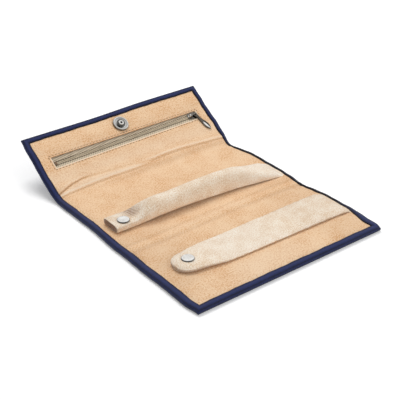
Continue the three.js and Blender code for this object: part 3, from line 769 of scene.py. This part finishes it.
def cover_piece(name, s_from, s_to, s_end=None):
    """One stretch of the cover; s_end is its free end, if it has one."""
    s_fixed = s_from if s_end == s_to else s_to
    rows = steps(s_from, s_to, ROW) if s_end is None else steps(s_fixed, s_end, ROW)
    columns = np.linspace(-1, 1, int(WIDTH / COLUMN) | 1)
    patches = [side_strip(side, rows, s_fixed, s_end) for side in (-1, 1)]
    patches.append(outside_sheet(rows, s_fixed, s_end, columns))
    if s_end is not None:
        patches.append(end_strip(s_fixed, s_end, columns))
    return finished(faced_out(piece(name, patches, NAVY)), COVER_SHARP, COVER)


# Lining

LINING_ROW = 1.1
LINING_SHARP = 50
# How far the lining reaches under the turned edges
TUCK = 1.4


def seam_top(x):
    """S of the pocket seam's upper line; at the left it runs out into a tuck at the crease."""
    stations = [-86, -70, -59, -48, -35, -22, -7, 9, 27, 42, 57, 77, 89]
    return np.interp(x, stations, [2.6, 8.2, 10.2, 9.8, 8.9, 8.5, 7.5, 7.0, 7.9, 7.6, 6.4, 5.1, 4.5])


def seam_foot(x):
    """S of the lower line of the doubled lining under the seam."""
    return np.interp(x, [-86, -67, -51, -38, -11, 12], [1.2, 2.7, 3.7, 4.0, 3.8, 4.4])


def doubled_side(x):
    """1 at the left, where the lining is doubled under the seam, and 0 at the right."""
    return 1 - smooth(x, -14, 14)


def drift_at(x):
    """How far the soft folds wander along the roll."""
    return waves(x, (0.9, 0.045, 0.0), (0.5, 0.11, 1.3))


def front_fold_at(x):
    """S of the fold line between back and front panel."""
    return S_FRONT_CREASE + 1.4 * np.sin(x * 0.03 + 0.5)


def lining_height(x, s):
    """Height of the lining over the roll's outside: pillowed, with folds near the creases."""
    inside = np.minimum(side_edge(1, s) - border(1, s) - x, x - side_edge(-1, s) - border(-1, s))
    inside = np.minimum(inside, FLAP_END - end_width(FLAP_END) - s)
    inside = np.minimum(inside, s - FRONT_END - end_width(FRONT_END))
    pillow = 0.75 * smooth(inside, -0.6, 5.0) - 0.25 * hump(inside, 0.0, 0.9)
    # It is held flat under bar and strap, round the zip and round the snap
    under_bar = smooth(np.abs(s - BAR_S), 11, 20)
    under_strap = smooth(np.abs(s - STRAP_S), 17, 24)
    round_zip = smooth(np.abs(s - 27.0), 13, 19)
    round_snap = smooth(np.hypot(x, s - SNAP_S), 8, 13)
    soft = np.minimum.reduce([under_bar, under_strap, round_zip, round_snap])
    height = LINING_TOP + pillow * mix(0.12, 1.0, soft)
    # A lip round the window, with a groove for the stitches
    off = from_window(x, s)
    height += humps(off, (0.16, 0.6, 0.5), (-0.14, 1.7, 0.5)) - 0.6 * (1 - smooth(off, -0.05, 0.4))
    # The pocket seam, then soft folds on both sides of the crease and along the front fold
    drift, left, fold = drift_at(x), doubled_side(x), front_fold_at(x)
    tucked = smooth(-x, 30, 62)
    top, foot = seam_top(x), seam_foot(x)
    height += 0.5 * within(s, (foot - 0.9, foot + 0.4), (top - 2.4, top + 0.2)) * left
    height += humps(
        s,
        (-0.3, foot - 1.6, 1.0, left),
        (-0.55, top + 0.4, 0.9, tucked),
        (0.2, top + 1.6, 1.4, tucked),
        (0.55, top, 1.1, 1 - left),
        (-0.25, top - 2.2, 1.2, 1 - left),
        (0.35, -1.5 + drift * 0.4, 1.5, 0.4 + 0.6 * tucked),
        (0.45, -11.5 + drift, 2.2, smooth(x, -20, 20)),
        (0.2, 13.6 + drift, 1.8, within(x, (-80, -30), (40, 60))),
        (-0.4, fold, 2.6),
        (0.4, fold + 6.5, 3.2),
        (0.35, fold - 7.0 + 0.04 * x, 2.6, smooth(x, -70, 30)),
        (0.3, fold + 13.5 + drift, 2.4, smooth(-x, -60, 60)),
    )
    ripples = 0.06 * np.sin(s * 0.55 + x * 0.05) * np.sin(x * 0.08 + s * 0.12)
    return height + ripples * soft


def lining_painted_light(x, s):
    """Painted light and shade on the lining, and its tone: a painted shadow under the window's upper edge, painted
    shade in the stitch groove, pale on the lip below and beside the window, painted highlights on the pocket
    seam's ridges and folds with painted shade beside them, darker toward the sides, paler at the front's left end.
    """
    off = from_window(x, s)
    upper_edge = s > WINDOW_TOP - 0.2
    # Painted shadow under the window's upper edge; pale on the lip below and beside the window
    lip = np.where(upper_edge, -0.35 * (1 - smooth(off, 0.2, 0.7)), 0.85 * hump(off, 0.5, 0.65))
    # Painted shade in the stitch groove
    groove = -0.3 * hump(off, 1.75, 0.45)
    left, fold = doubled_side(x), front_fold_at(x)
    tucked = smooth(-x, 40, 66)
    top, foot = seam_top(x), seam_foot(x)
    # Pale on the doubled lining; painted highlights on ridges and folds, painted shade beside them
    doubled = 0.25 * within(s, (foot, foot + 1.5), (top - 2.0, top)) * left
    folds = humps(
        s,
        (0.2, 17.0, 7.0),
        (0.6, foot + 0.6, 0.9, left),
        (-0.4, foot - 1.2, 0.8, left),
        (-0.2, top + 0.4, 0.9, left),
        (0.5, top + 0.4, 1.0, 1 - left),
        (-0.35, top - 1.8, 0.9, 1 - left),
        (-0.6, top + 0.4, 0.8, tucked),
        (0.25, top + 2.2, 1.3, tucked),
        (-0.18, -1.5 + drift_at(x), 4.0, smooth(x, -70, 0)),
        (-0.14, fold, 2.2),
        (-0.1, fold + 10.0, 1.6),
        (0.1, fold + 6.0, 2.5),
    )
    # Darker toward the sides of back and front, paler at the front's left end
    sides = -0.1 * smooth(np.abs(x), 30, 60) * smooth(-s, 40, 70)
    front = 0.16 * smooth(-s, 154, 170) * (1 - smooth(x, 0, 50))
    return np.clip(lip + groove + doubled + folds + sides + front, -1, 1)


def lining_columns(rows):
    """X of each column for each row, tucked under the turned edges."""
    s = rows[:, None]
    left = side_edge(-1, s) + border(-1, s)
    right = side_edge(1, s) - border(1, s)
    tucks = np.array([-TUCK, -0.5, 0.0, 0.7, 1.6, 3.0])
    lip = WINDOW_HALF + np.array([0.3, 0.7, 1.1, 1.7, 2.6])
    inner = np.concatenate([-lip[::-1], steps(-WINDOW_HALF, WINDOW_HALF, 2.0), lip])
    between_left = mix(left + tucks[-1], inner[0], 0.5)
    between_right = mix(inner[-1], right - tucks[-1], 0.5)
    inner = np.broadcast_to(inner, (len(rows), len(inner)))
    return np.concatenate([left + tucks, between_left, inner, between_right, right - tucks[::-1]], axis=1)


def window_rows(start, stop):
    """Rows of the flap's lining as shares of the stretches below, beside and above the window."""
    lip = np.array([0.0, 0.3, 0.7, 1.1, 1.6, 2.2, 3.0, 4.0])
    below = window_low(0.0) - start
    beside = WINDOW_TOP - window_low(0.0)
    above = stop - WINDOW_TOP
    low = np.concatenate([steps(0, 1 - lip[-1] / below, LINING_ROW / below)[:-1], 1 - lip[::-1] / below])
    middle = steps(0, 1, 1.0 / beside)[1:-1]
    high = np.concatenate([lip / above, steps(lip[-1] / above, 1, LINING_ROW / above)[1:]])
    return [(k, share) for k, shares in enumerate((low, middle, high)) for share in shares]


def lining_piece(name, s_from, s_to, window):
    """One stretch of the lining, with the zip's window cut out if asked."""
    start = FRONT_END + end_width(FRONT_END) - TUCK if s_from == FRONT_END else s_from
    stop = FLAP_END - end_width(FLAP_END) + TUCK if s_to == FLAP_END else s_to
    skip = None
    if window:
        shares = window_rows(start, stop)
        marks = [start, window_low(0.0), WINDOW_TOP, stop]
        x = lining_columns(np.array([mix(marks[k], marks[k + 1], t) for k, t in shares]))
        lines = [np.broadcast_to(line, x.shape) for line in (start, window_low(x), WINDOW_TOP, stop)]
        s = np.array([mix(lines[k][i], lines[k + 1][i], t) for i, (k, t) in enumerate(shares)])
        skip = from_window((x[:-1, :-1] + x[1:, 1:]) / 2, (s[:-1, :-1] + s[1:, 1:]) / 2) < 0
    else:
        rows = steps(start, stop, LINING_ROW)
        x = lining_columns(rows)
        s = np.broadcast_to(rows[:, None], x.shape)
    patch = place(x, s, lining_height(x, s)), flat_at(x, s), lining_painted_light(x, s)
    obj = finished(piece(name, [patch], LINING, skip), LINING_SHARP, LINING_THICK)
    return obj


# Stretches of the roll, each listed with the span of one fold

# Length of the bend at a spine's fold, and half of it at the crease
BEND = 5.5
HALF_BEND = 5.0


def on_path(s):
    return tuple(place(0.0, s, THICK))


# Name, both ends, free end, and the two bodies with the stretch over which it bends between them
STRETCHES = [
    ("flap", S_TOP / 2, FLAP_END, FLAP_END, "flap_upper_spine", "flap", S_TOP - BEND, S_TOP),
    ("crease", S_BASE / 2, S_TOP / 2, None, "flap_lower_spine", "flap_upper_spine", -HALF_BEND, HALF_BEND),
    ("back_far", BAR_S, S_BASE / 2, None, "back", "flap_lower_spine", S_BASE, S_BASE + BEND),
    ("back_near", S_FRONT_CREASE, BAR_S, None, "back", "front_spine", S_INNER, S_INNER - BEND),
    ("front", FRONT_END, S_FRONT_CREASE, FRONT_END, "front_spine", "front", S_OUTER + BEND, S_OUTER),
]
COVER_NODES = {
    "flap": ["flap_cover"],
    "crease": ["flap_crease", "flap_upper_spine_cover"],
    "back_far": ["back_cover", "flap_lower_spine_cover"],
    "back_near": ["front_spine_cover"],
    "front": ["front_cover"],
}
LINING_NODES = {
    "flap": ["flap_lining", "pocket_back"],
    "crease": ["flap_upper_spine_lining"],
    "back_far": ["back_lining", "back_padding", "flap_lower_spine_lining"],
    "back_near": ["front_spine_lining"],
    "front": ["front_lining", "front_padding"],
}
for label, s_from, s_to, s_end, body, next_body, bend_from, bend_to in STRETCHES:
    cover = cover_piece(f"cover_{label}", s_from, s_to, s_end)
    lining = lining_piece(f"lining_{label}", s_from, s_to, window=label == "flap")
    for soft, nodes in ((cover, COVER_NODES[label]), (lining, LINING_NODES[label])):
        on_path(bend_from)
        on_path(bend_to)
        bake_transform(soft)
        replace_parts(soft, *nodes)


# Closed sleeves: the padded bar and the strap

SLEEVE_SHARP = 60


def circle(count):
    angle = np.linspace(0, 2 * np.pi, count, endpoint=False)
    return np.cos(angle), np.sin(angle)


def bent(value, power):
    return np.sign(value) * np.abs(value) ** power


def sleeve_piece(name, loops):
    """A suede sleeve through loops of (points, wear and painted shade), closed at both ends."""
    points, wear_and_shade = (np.array(part) for part in zip(*loops))
    points, wear_and_shade = (np.concatenate([part, part[:, :1]], axis=1) for part in (points, wear_and_shade))
    girth = np.linalg.norm(np.diff(points, axis=1), axis=2)
    flat = np.zeros(wear_and_shade.shape + (2,))
    flat[..., 0] = points[..., 0] / MM / FLAT_UNIT
    flat[:, 1:, 1] = np.cumsum(girth, axis=1) / MM / FLAT_UNIT
    obj = faced_out(piece(name, [(points, flat, wear_and_shade)], SUEDE), fill=True)
    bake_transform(obj)
    return finished(obj, SLEEVE_SHARP)


BAR_TIP, BAR_ROOT = -78.4, 85.3
BAR_DIAMETER = 16.5
BAR_STUD_X = -68.5
BAR_LOOP_POINTS = 56
TAB_TOP = LINING_TOP + STUD_STACK + TAB_THICK
# Width of the bar, and the power of its section: where it is round, at the tab, and where it is sewn in
BAR_WIDTHS = (BAR_DIAMETER, 19.6, 28.0)
BAR_POWERS = (2.0, 4.2, 2.6)
# Height where it is sewn in, before and in the tuck; how far the tab lies off the bar's line
SEWN_HEIGHTS = (4.2, 0.9)
TAB_ASIDE = 3.2


def bar_loop(x):
    """One loop of the bar's sleeve and its painted shade and tone there."""
    tab = 1 - smooth(x, -61.5, -38.0)
    sewn = smooth(x, 33.6, 83.6)
    tucked = smooth(x, 74.0, BAR_ROOT)
    width, power = (mix(mix(a, b, tab), c, sewn) for a, b, c in (BAR_WIDTHS, BAR_POWERS))
    low = LINING_TOP + mix(0.25, -0.7, tucked)
    height = mix(mix(BAR_DIAMETER, TAB_TOP - low, tab), mix(*SEWN_HEIGHTS, tucked), sewn)
    c, s = circle(BAR_LOOP_POINTS)
    across = bent(c, 2 / power) * width / 2
    rise = bent(s, 2 / power) * height / 2

    # Gathers behind the tab, a sagging top, and the weight that flattens the underside
    top = smooth(s, 0.1, 0.7)
    middle_y = BAR_Y + TAB_ASIDE * tab
    creases = np.sin(x * 2.9 + across * 0.4 + 0.6 * np.sin(across * 0.9))
    gather = hump(x, -57.5, 5.0) * top * smooth(across, -6.0, 1.5)
    rise += gather * (0.2 * creases - 0.5)
    rise += 0.35 * np.sin(x * 0.07 + 0.8) * top * within(x, (-40, -20), (50, 70))
    across = across + 0.25 * np.sin(x * 0.05) * (1 - tab) - 1.2 * hump(x, 46, 18) * smooth(-c, 0, 0.6)
    slump = mix(0.4, 1.0, smooth(x, -25, 30)) * (1 - tab)
    share = rise / height + 0.5
    share = mix(share, np.where(share < 0.5, 0.2 * share, 0.1 + 0.9 * (2 * share - 1)), slump)
    z = low + height * share
    well = 1 - smooth(np.hypot(x - BAR_STUD_X, middle_y + across - BAR_Y), 5.2, 6.4)
    z = np.where(s < 0, np.maximum(z, mix(z, LINING_TOP + STUD_STACK, well)), z)
    points = np.stack([np.full_like(across, x), middle_y + across, z], axis=-1)

    # Painted shade in the gathers and a painted contact shadow in a narrow line where the bar touches the lining;
    # paler on top toward the sewn end, a little darker on top of the tab
    painted_shade_and_tone = -gather * (0.32 + 0.42 * np.clip(0.35 - 0.65 * creases, 0, 1))
    deep = mix(0.98, 0.45, slump)
    touching = smooth(-s, mix(0.6, 0.0, slump), deep) * (1 - 0.88 * smooth(-s, deep, deep + 0.25))
    painted_shade_and_tone -= touching * (c < 0)
    painted_shade_and_tone += (0.2 * smooth(x, 20, 50) - 0.06 * tab) * (s > 0)
    return points * MM, painted_shade_and_tone


def shrunk(loop, share, x, raw_edge_and_shade):
    """A loop drawn in toward its middle, for the rounded and hollow end."""
    points, wear_and_shade = loop
    middle = points.mean(axis=0)
    moved = middle + (points - middle) * share
    moved[:, 0] = x * MM
    return moved, raw_edge_and_shade * (0.82 + 0.18 * np.sin(np.arange(len(wear_and_shade)) * 2.1))


# Share of the first loop, depth from the tip, and how dark the hollow end is painted: a brown raw edge and painted
# shade
BAR_HOLLOW = [
    (0.3, 0.8, -0.95), (0.6, 0.6, -0.9), (0.76, 0.4, -0.85),
    (0.86, 0.2, -0.7), (0.93, 0.05, -0.45), (0.98, 0.2, -0.2),
]
bar_places = np.concatenate([steps(BAR_TIP + 0.6, -36, 0.8), steps(-34.5, BAR_ROOT, 1.6)])
bar_loops = [bar_loop(x) for x in bar_places]
bar_end = [shrunk(bar_loops[0], share, BAR_TIP + depth, raw_edge_and_shade) for share, depth, raw_edge_and_shade in BAR_HOLLOW]
bar_pad = sleeve_piece("bar_pad", bar_end + bar_loops)
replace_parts(bar_pad, "bar_sleeve", "bar_filling")

STRAP_ROOT = 85.2
STRAP_SHOULDER = -37.6
STRAP_ROUND = -61.6
STRAP_STUD_X = -62.0
STRAP_LOOP_POINTS = 72
TONGUE_ROUND = 12.0
TONGUE_LOOPS = 34
TONGUE_TURN = 0.494 * np.pi


def strap_half(x):
    """Half the strap's width, which narrows toward the tongue."""
    return np.interp(x, [STRAP_ROUND, STRAP_SHOULDER, STRAP_ROOT], [12.5, 16.2, STRAP_WIDTH / 2])


def strap_loop(x, half):
    """One loop of the strap, lying on the arched panel, and its painted shade and tone there."""
    raised = 1 - smooth(x, -57, -23)
    tucked = smooth(x, 77.0, STRAP_ROOT)
    c, s = circle(STRAP_LOOP_POINTS)
    across = bent(c, 0.34) * half
    from_stud = np.hypot(x - STRAP_STUD_X, across)
    sag = raised * smooth(from_stud, 6.5, 12.5)
    low = LINING_TOP + mix(mix(0.2, STUD_STACK, raised) - 2.0 * sag, -0.7, tucked)
    thick = mix(STRAP_THICK + 0.5 * raised + 0.8 * sag, 0.8, tucked)
    rise = bent(s, 0.6) * thick / 2
    fuzz = 0.12 * np.sin(x * 3.1 + across * 2.3) * np.abs(c) ** 6
    edge_dip = -0.25 * hump(np.abs(across), half - 1.6, 0.8) * (s > 0.2)
    pressed = 0.5 * (1 - smooth(from_stud, 5.2, 8.5)) * (s > 0)
    wave = 0.2 * np.sin(x * 0.08 + 1.0) * np.sin(across * 0.12) * smooth(x, -40, -10)
    height = low + thick / 2 + rise + edge_dip - pressed + np.abs(wave)
    # Darker toward the edges: a browner raw edge above, painted shade below where the strap meets the lining;
    # paler on top in the middle, a little darker toward the sewn end
    painted_shade_and_tone = -np.abs(c) ** 8 * mix(0.3, 0.9, smooth(-s, -0.2, 0.5)) * (0.6 + 0.4 * raised)
    painted_shade_and_tone += 0.2 * within(x, (-60, -30), (-10, 50)) * (s > 0) - 0.06 * smooth(x, -10, 50)
    return place(x, STRAP_S + across + fuzz, height), painted_shade_and_tone


strap_loops = [strap_loop(x, strap_half(x)) for x in steps(STRAP_ROOT, STRAP_ROUND, 1.6)]
for turn in np.linspace(0, TONGUE_TURN, TONGUE_LOOPS)[1:]:
    tongue_half = strap_half(STRAP_ROUND) * math.cos(turn) ** 0.8
    strap_loops.append(strap_loop(STRAP_ROUND - TONGUE_ROUND * math.sin(turn), tongue_half))
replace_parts(sleeve_piece("strap_tongue", strap_loops), "strap")

# Turned metal: the caps of the press studs and the snap's button

TURNED_POINTS = 72
TURNED_SHARP = 50


def turned_piece(name, profile, x, s, body, node):
    """A lathed piece standing on the roll at x and s; its profile gives radius, height and painted shade."""
    y, z, slope = (float(v) for v in straight(np.array(s)))
    up = np.array([0.0, -math.sin(slope), math.cos(slope)])
    back = np.array([0.0, math.cos(slope), math.sin(slope)])
    foot = np.array([x, y, z]) - up * THICK
    turn = np.linspace(0, 2 * np.pi, TURNED_POINTS + 1)
    turn[-1] = 0.0
    radius, height, painted_shade = (part[:, None] for part in np.array(profile).T)
    outward = np.cos(turn)[None, :, None] * np.array([1.0, 0, 0]) + np.sin(turn)[None, :, None] * back
    points = foot + radius[..., None] * outward + height[..., None] * up
    patch = points * MM, np.zeros(points.shape[:2] + (2,)), painted_shade
    obj = finished(faced_out(piece(name, [patch], NICKEL)), TURNED_SHARP)
    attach(obj, body)
    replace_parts(obj, node)


# A shallow dome with a rolled edge; its underside and rolled edge are painted dark as shade
CAP_PROFILE = [
    (0.0, -0.3, -1.0), (4.6, -0.3, -1.0), (4.75, 0.0, -1.0), (4.95, 0.12, -1.0), (5.0, 0.4, -0.9),
    (4.93, 0.68, -0.7), (4.72, 0.9, -0.35), (4.4, 1.03, 0.0), (3.9, 1.1, 0.0), (3.0, 1.17, 0.0),
    (1.8, 1.22, 0.0), (0.0, 1.25, 0.0),
]
# Rolled rim, dished face, groove, hollow stud; painted shade darkens the rim's outside, the dished face's low
# ring, the groove and the stud's hollow
BUTTON_PROFILE = [
    (0.0, 3.0, -1.0), (6.7, 3.0, -1.0), (6.9, 3.25, -0.9), (7.0, 3.5, -0.9), (7.0, 4.5, -0.8),
    (6.93, 4.85, -0.6), (6.75, 5.12, -0.3), (6.45, 5.32, -0.05), (6.1, 5.4, -0.1), (5.75, 5.34, -0.4),
    (5.35, 5.2, -0.5), (4.7, 4.98, -0.3), (4.1, 4.78, -0.15), (3.85, 4.62, -0.35), (3.7, 4.3, -0.8),
    (3.6, 4.2, -0.85), (2.5, 4.2, -0.85), (2.4, 4.3, -0.75), (2.4, 5.95, -0.5), (2.33, 6.2, -0.2),
    (2.15, 6.36, 0.0), (1.95, 6.4, 0.0), (1.1, 6.4, -0.2), (0.95, 6.33, -0.5), (0.9, 6.2, -0.8),
    (0.9, 5.15, -1.0), (0.0, 5.08, -1.0),
]


def cap_piece(name, held, x, s, body, node):
    """The cap of a press stud, on top of the held layer."""
    base = LINING_TOP + STUD_STACK + held + LAYER_GAP
    profile = [(radius, base + height, painted_shade) for radius, height, painted_shade in CAP_PROFILE]
    turned_piece(name, profile, x, s, body, node)


cap_piece("bar_cap_domed", TAB_THICK, BAR_STUD_X, BAR_S, "bar", "bar_cap")
cap_piece("strap_cap_domed", STRAP_THICK, STRAP_STUD_X, STRAP_S, "strap", "strap_cap")
turned_piece("snap_button_rolled", BUTTON_PROFILE, 0.0, SNAP_S, "flap", "snap_button")

# Zip tapes with their rows of teeth, and the stitching round them

# Offset from the zip's middle and height of the tape, with a groove beside the closed rows
TAPE_SECTION = [
    (0.45, 1.75), (0.8, 1.72), (1.2, 1.65), (1.45, 1.6), (1.6, 1.75), (1.75, 2.15),
    (2.0, 2.38), (2.5, 2.45), (3.4, 2.46), (4.6, 2.44), (5.8, 2.44), (6.85, 2.44),
]
TAPE_THICK = 0.2
TAPE_REACH = WINDOW_HALF + 6
TAPE_SHARP = 70


def tape_piece(name, side, node):
    """Tape from the rows of teeth out under the lining."""
    across, rise = np.array(TAPE_SECTION).T
    x, across = np.meshgrid(steps(-TAPE_REACH, TAPE_REACH, 1.6), across, indexing="ij")
    s = zip_line(x) + side * across
    # The upper tape's groove is deep only near the ends of the zip, and its cloth is darker
    upper_groove = mix(0.35, 1.0, np.maximum(smooth(-x, 48, 62), smooth(x, 58, 68)))
    open_groove = upper_groove if side > 0 else 1.0
    pale = 0.0 if side > 0 else 0.45
    dip = within(across, (1.2, 1.4), (1.6, 2.0))
    wave = 0.03 * np.sin(x * 0.4 + side) * (across > 3)
    height = rise[None, :] + wave + 0.45 * dip * (1 - open_groove)
    # Paler lower tape; painted shade in the open groove beside the teeth, and a painted shadow along the top under
    # the lining's edge
    wear_and_shade = pale * smooth(across, 1.8, 2.6) - open_groove * dip - 0.4 * smooth(s - WINDOW_TOP, -1.0, -0.1)
    patch = place(x, s, height), flat_at(x, across), np.clip(wear_and_shade, -1, 1)
    obj = finished(piece(name, [patch], TAPE), TAPE_SHARP, TAPE_THICK, offset=float(side))
    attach(obj, "flap")
    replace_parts(obj, node)


tape_piece("tape_upper", 1, "zip_tape_upper")
tape_piece("tape_lower", -1, "zip_tape_lower")

ROD_SIDES = 6
# Share of a rod's length and of its radius, for its tapered tips
ROD_TAPER = ((0.0, 0.35), (0.15, 1.0), (0.85, 1.0), (1.0, 0.35))


def rods(name, ends, radius, material, pale=0.0):
    """Short round rods with tapered tips between pairs of points, as one piece on the flap."""
    bm = bmesh.new()
    flat_layer = bm.loops.layers.uv.new("flat")
    wear_layer = bm.verts.layers.float.new("wear_and_shade")
    outline = [Vector((x, y, 0)) * (radius * MM) for x, y in zip(*circle(ROD_SIDES))]
    for start, end in ends:
        start, along = Vector(start), Vector(end) - Vector(start)
        turn = along.to_track_quat("Z", "Y").to_matrix()
        circles = []
        for share, size in ROD_TAPER:
            middle = start + along * share
            circles.append([bm.verts.new(middle + turn @ (off * size)) for off in outline])
        for a, b in zip(circles, circles[1:]):
            for k in range(ROD_SIDES):
                after = (k + 1) % ROD_SIDES
                bm.faces.new([a[k], a[after], b[after], b[k]])
        bm.faces.new(circles[0][::-1])
        bm.faces.new(circles[-1])
    for vert in bm.verts:
        vert[wear_layer] = pale
    for face in bm.faces:
        for loop in face.loops:
            loop[flat_layer].uv = loop.vert.co.xy / MM / FLAT_UNIT
    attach(finished(into_scene(name, bm, material), SLEEVE_SHARP), "flap")


TOOTH_PITCH = 0.8
TOOTH_RADIUS = 0.46
TOOTH_LEAN = 0.3
TOOTH_END = WINDOW_HALF - 0.6
# Offset from the zip's middle and height of a coil's near and far end
TOOTH_NEAR = (0.02, 2.05)
TOOTH_FAR = (1.3, 2.0)


def teeth_row(side):
    """One row of the closed zip, its coils leaning toward the slider."""
    x = np.arange(-TOOTH_END, TOOTH_END, TOOTH_PITCH)
    near = place(x + TOOTH_LEAN, zip_line(x) + side * TOOTH_NEAR[0], TOOTH_NEAR[1])
    far = place(x, zip_line(x) + side * TOOTH_FAR[0], TOOTH_FAR[1])
    return list(zip(near, far))


rods("zip_teeth", teeth_row(1) + teeth_row(-1), TOOTH_RADIUS, TAPE, pale=0.4)

STITCH_PITCH = 3.0
STITCH_LENGTH = 1.6
STITCH_RADIUS = 0.27
STITCH_RISE = 0.04
# How far the line of stitches runs outside the window, below and above it, and its two ends
STITCH_BELOW = 1.7
STITCH_ABOVE = 1.5
STITCH_LEFT, STITCH_RIGHT = -76.2, 76.4


def stitch_line(start, end):
    """Stitches between two (x, s) corners, resting on the lining."""
    start, end = np.array(start), np.array(end)
    total = np.linalg.norm(end - start)
    count = int(total / STITCH_PITCH)
    tips = []
    for offset in (-0.5, 0.5):
        share = (np.arange(count) + 0.5) / count + offset * STITCH_LENGTH / total
        x, s = mix(start[:, None], end[:, None], share)
        tips.append(place(x, s, lining_height(x, s) + STITCH_RISE))
    return list(zip(*tips))


stitch_corners = [
    (STITCH_LEFT, float(window_low(STITCH_LEFT)) - STITCH_BELOW),
    (STITCH_RIGHT, float(window_low(STITCH_RIGHT)) - STITCH_BELOW),
    (STITCH_RIGHT, WINDOW_TOP + STITCH_ABOVE),
    (STITCH_LEFT, WINDOW_TOP + STITCH_ABOVE),
]
stitches = []
for first, second in zip(stitch_corners, stitch_corners[1:] + stitch_corners[:1]):
    stitches += stitch_line(first, second)
rods("zip_stitching", stitches, STITCH_RADIUS, THREAD)


# Floor, light and camera; lengths here are in metres

FLOOR_HALF = 4.0
FLOOR_Z = -0.0002
FLOOR_GLOW = 0.22
SKY = 0.43


def floor_finish():
    """A pale floor that glows a little for the eye, but lights nothing."""
    material, tree = new_finish("pale_floor")
    speckle = noise_node(tree, object_place(tree), 3.0, detail=2.0)
    set_shader(
        tree,
        Base_Color=range_node(tree, speckle, 0.94, 0.96, from_low=0.2, from_high=0.8),
        Roughness=0.9,
        Specular_IOR_Level=0.1,
    )
    path = add_node(tree, "LightPath").outputs
    seen = math_node(tree, "MAXIMUM", path["Is Camera Ray"], path["Is Glossy Ray"])
    strength = math_node(tree, "MULTIPLY", seen, FLOOR_GLOW)
    glow = add_node(tree, "Emission", {"Color": (1, 1, 1, 1), "Strength": strength})
    both = add_node(tree, "AddShader", {0: tree.nodes["Principled BSDF"].outputs[0], 1: glow.outputs[0]})
    tree.links.new(both.outputs[0], tree.nodes["Material Output"].inputs["Surface"])
    return material


floor_mesh = bpy.data.meshes.new("floor")
floor_corners = [(x * FLOOR_HALF, y * FLOOR_HALF, FLOOR_Z) for x, y in ((-1, -1), (1, -1), (1, 1), (-1, 1))]
floor_mesh.from_pydata(floor_corners, [], [(0, 1, 2, 3)])
floor_mesh.materials.append(floor_finish())
floor = bpy.data.objects.new("floor", floor_mesh)
scene.collection.objects.link(floor)

scene.view_settings.view_transform = "Standard"

world = bpy.data.worlds.new("studio")
scene.world = world
world.use_nodes = True
sky = world.node_tree
path = add_node(sky, "LightPath").outputs
toward = add_node(sky, "TexCoord").outputs["Generated"]
# Metal mirrors a bright side behind the roll and a dim one behind the camera
bright_side = vector_node(sky, "DOT_PRODUCT", toward, (0.634, 0.346, 0.692))
mirrored = range_node(sky, bright_side, to_low=0.15, to_high=1.0, from_low=-0.1, from_high=0.75)
level = add_node(sky, "Mix", {0: path["Is Glossy Ray"], 2: SKY, 3: mirrored}).outputs[0]
seen = math_node(sky, "MAXIMUM", path["Is Camera Ray"], path["Is Transmission Ray"])
strength = add_node(sky, "Mix", {0: seen, 2: level, 3: 1.0}).outputs[0]
background = sky.nodes["Background"]
background.inputs["Color"].default_value = (1, 1, 1, 1)
sky.links.new(strength, background.inputs["Strength"])


def aimed(name, data, position, direction):
    obj = bpy.data.objects.new(name, data)
    obj.location = position
    obj.rotation_euler = Vector(direction).to_track_quat("-Z", "Y").to_euler()
    scene.collection.objects.link(obj)
    return obj


def lamp(name, position, power, size):
    """A round soft light aimed at the middle of the roll."""
    light = bpy.data.lights.new(name, "AREA")
    light.energy = power
    light.shape = "DISK"
    light.size = size
    aimed(name, light, position, -Vector(position)).visible_glossy = False


lamp("softbox", (0.18, 0.56, 1.2), power=8.9, size=0.8)
lamp("front", (0.35, -1.15, 0.8), power=5.4, size=1.0)

camera_data = bpy.data.cameras.new("camera")
camera_data.sensor_width = 36.0
camera_data.lens = 87.43
camera_data.clip_start = 0.01
camera_place = (-0.40677, -0.55393, 0.39778)
camera_direction = (0.52472, 0.68496, -0.50547)
scene.camera = aimed("camera", camera_data, camera_place, camera_direction)
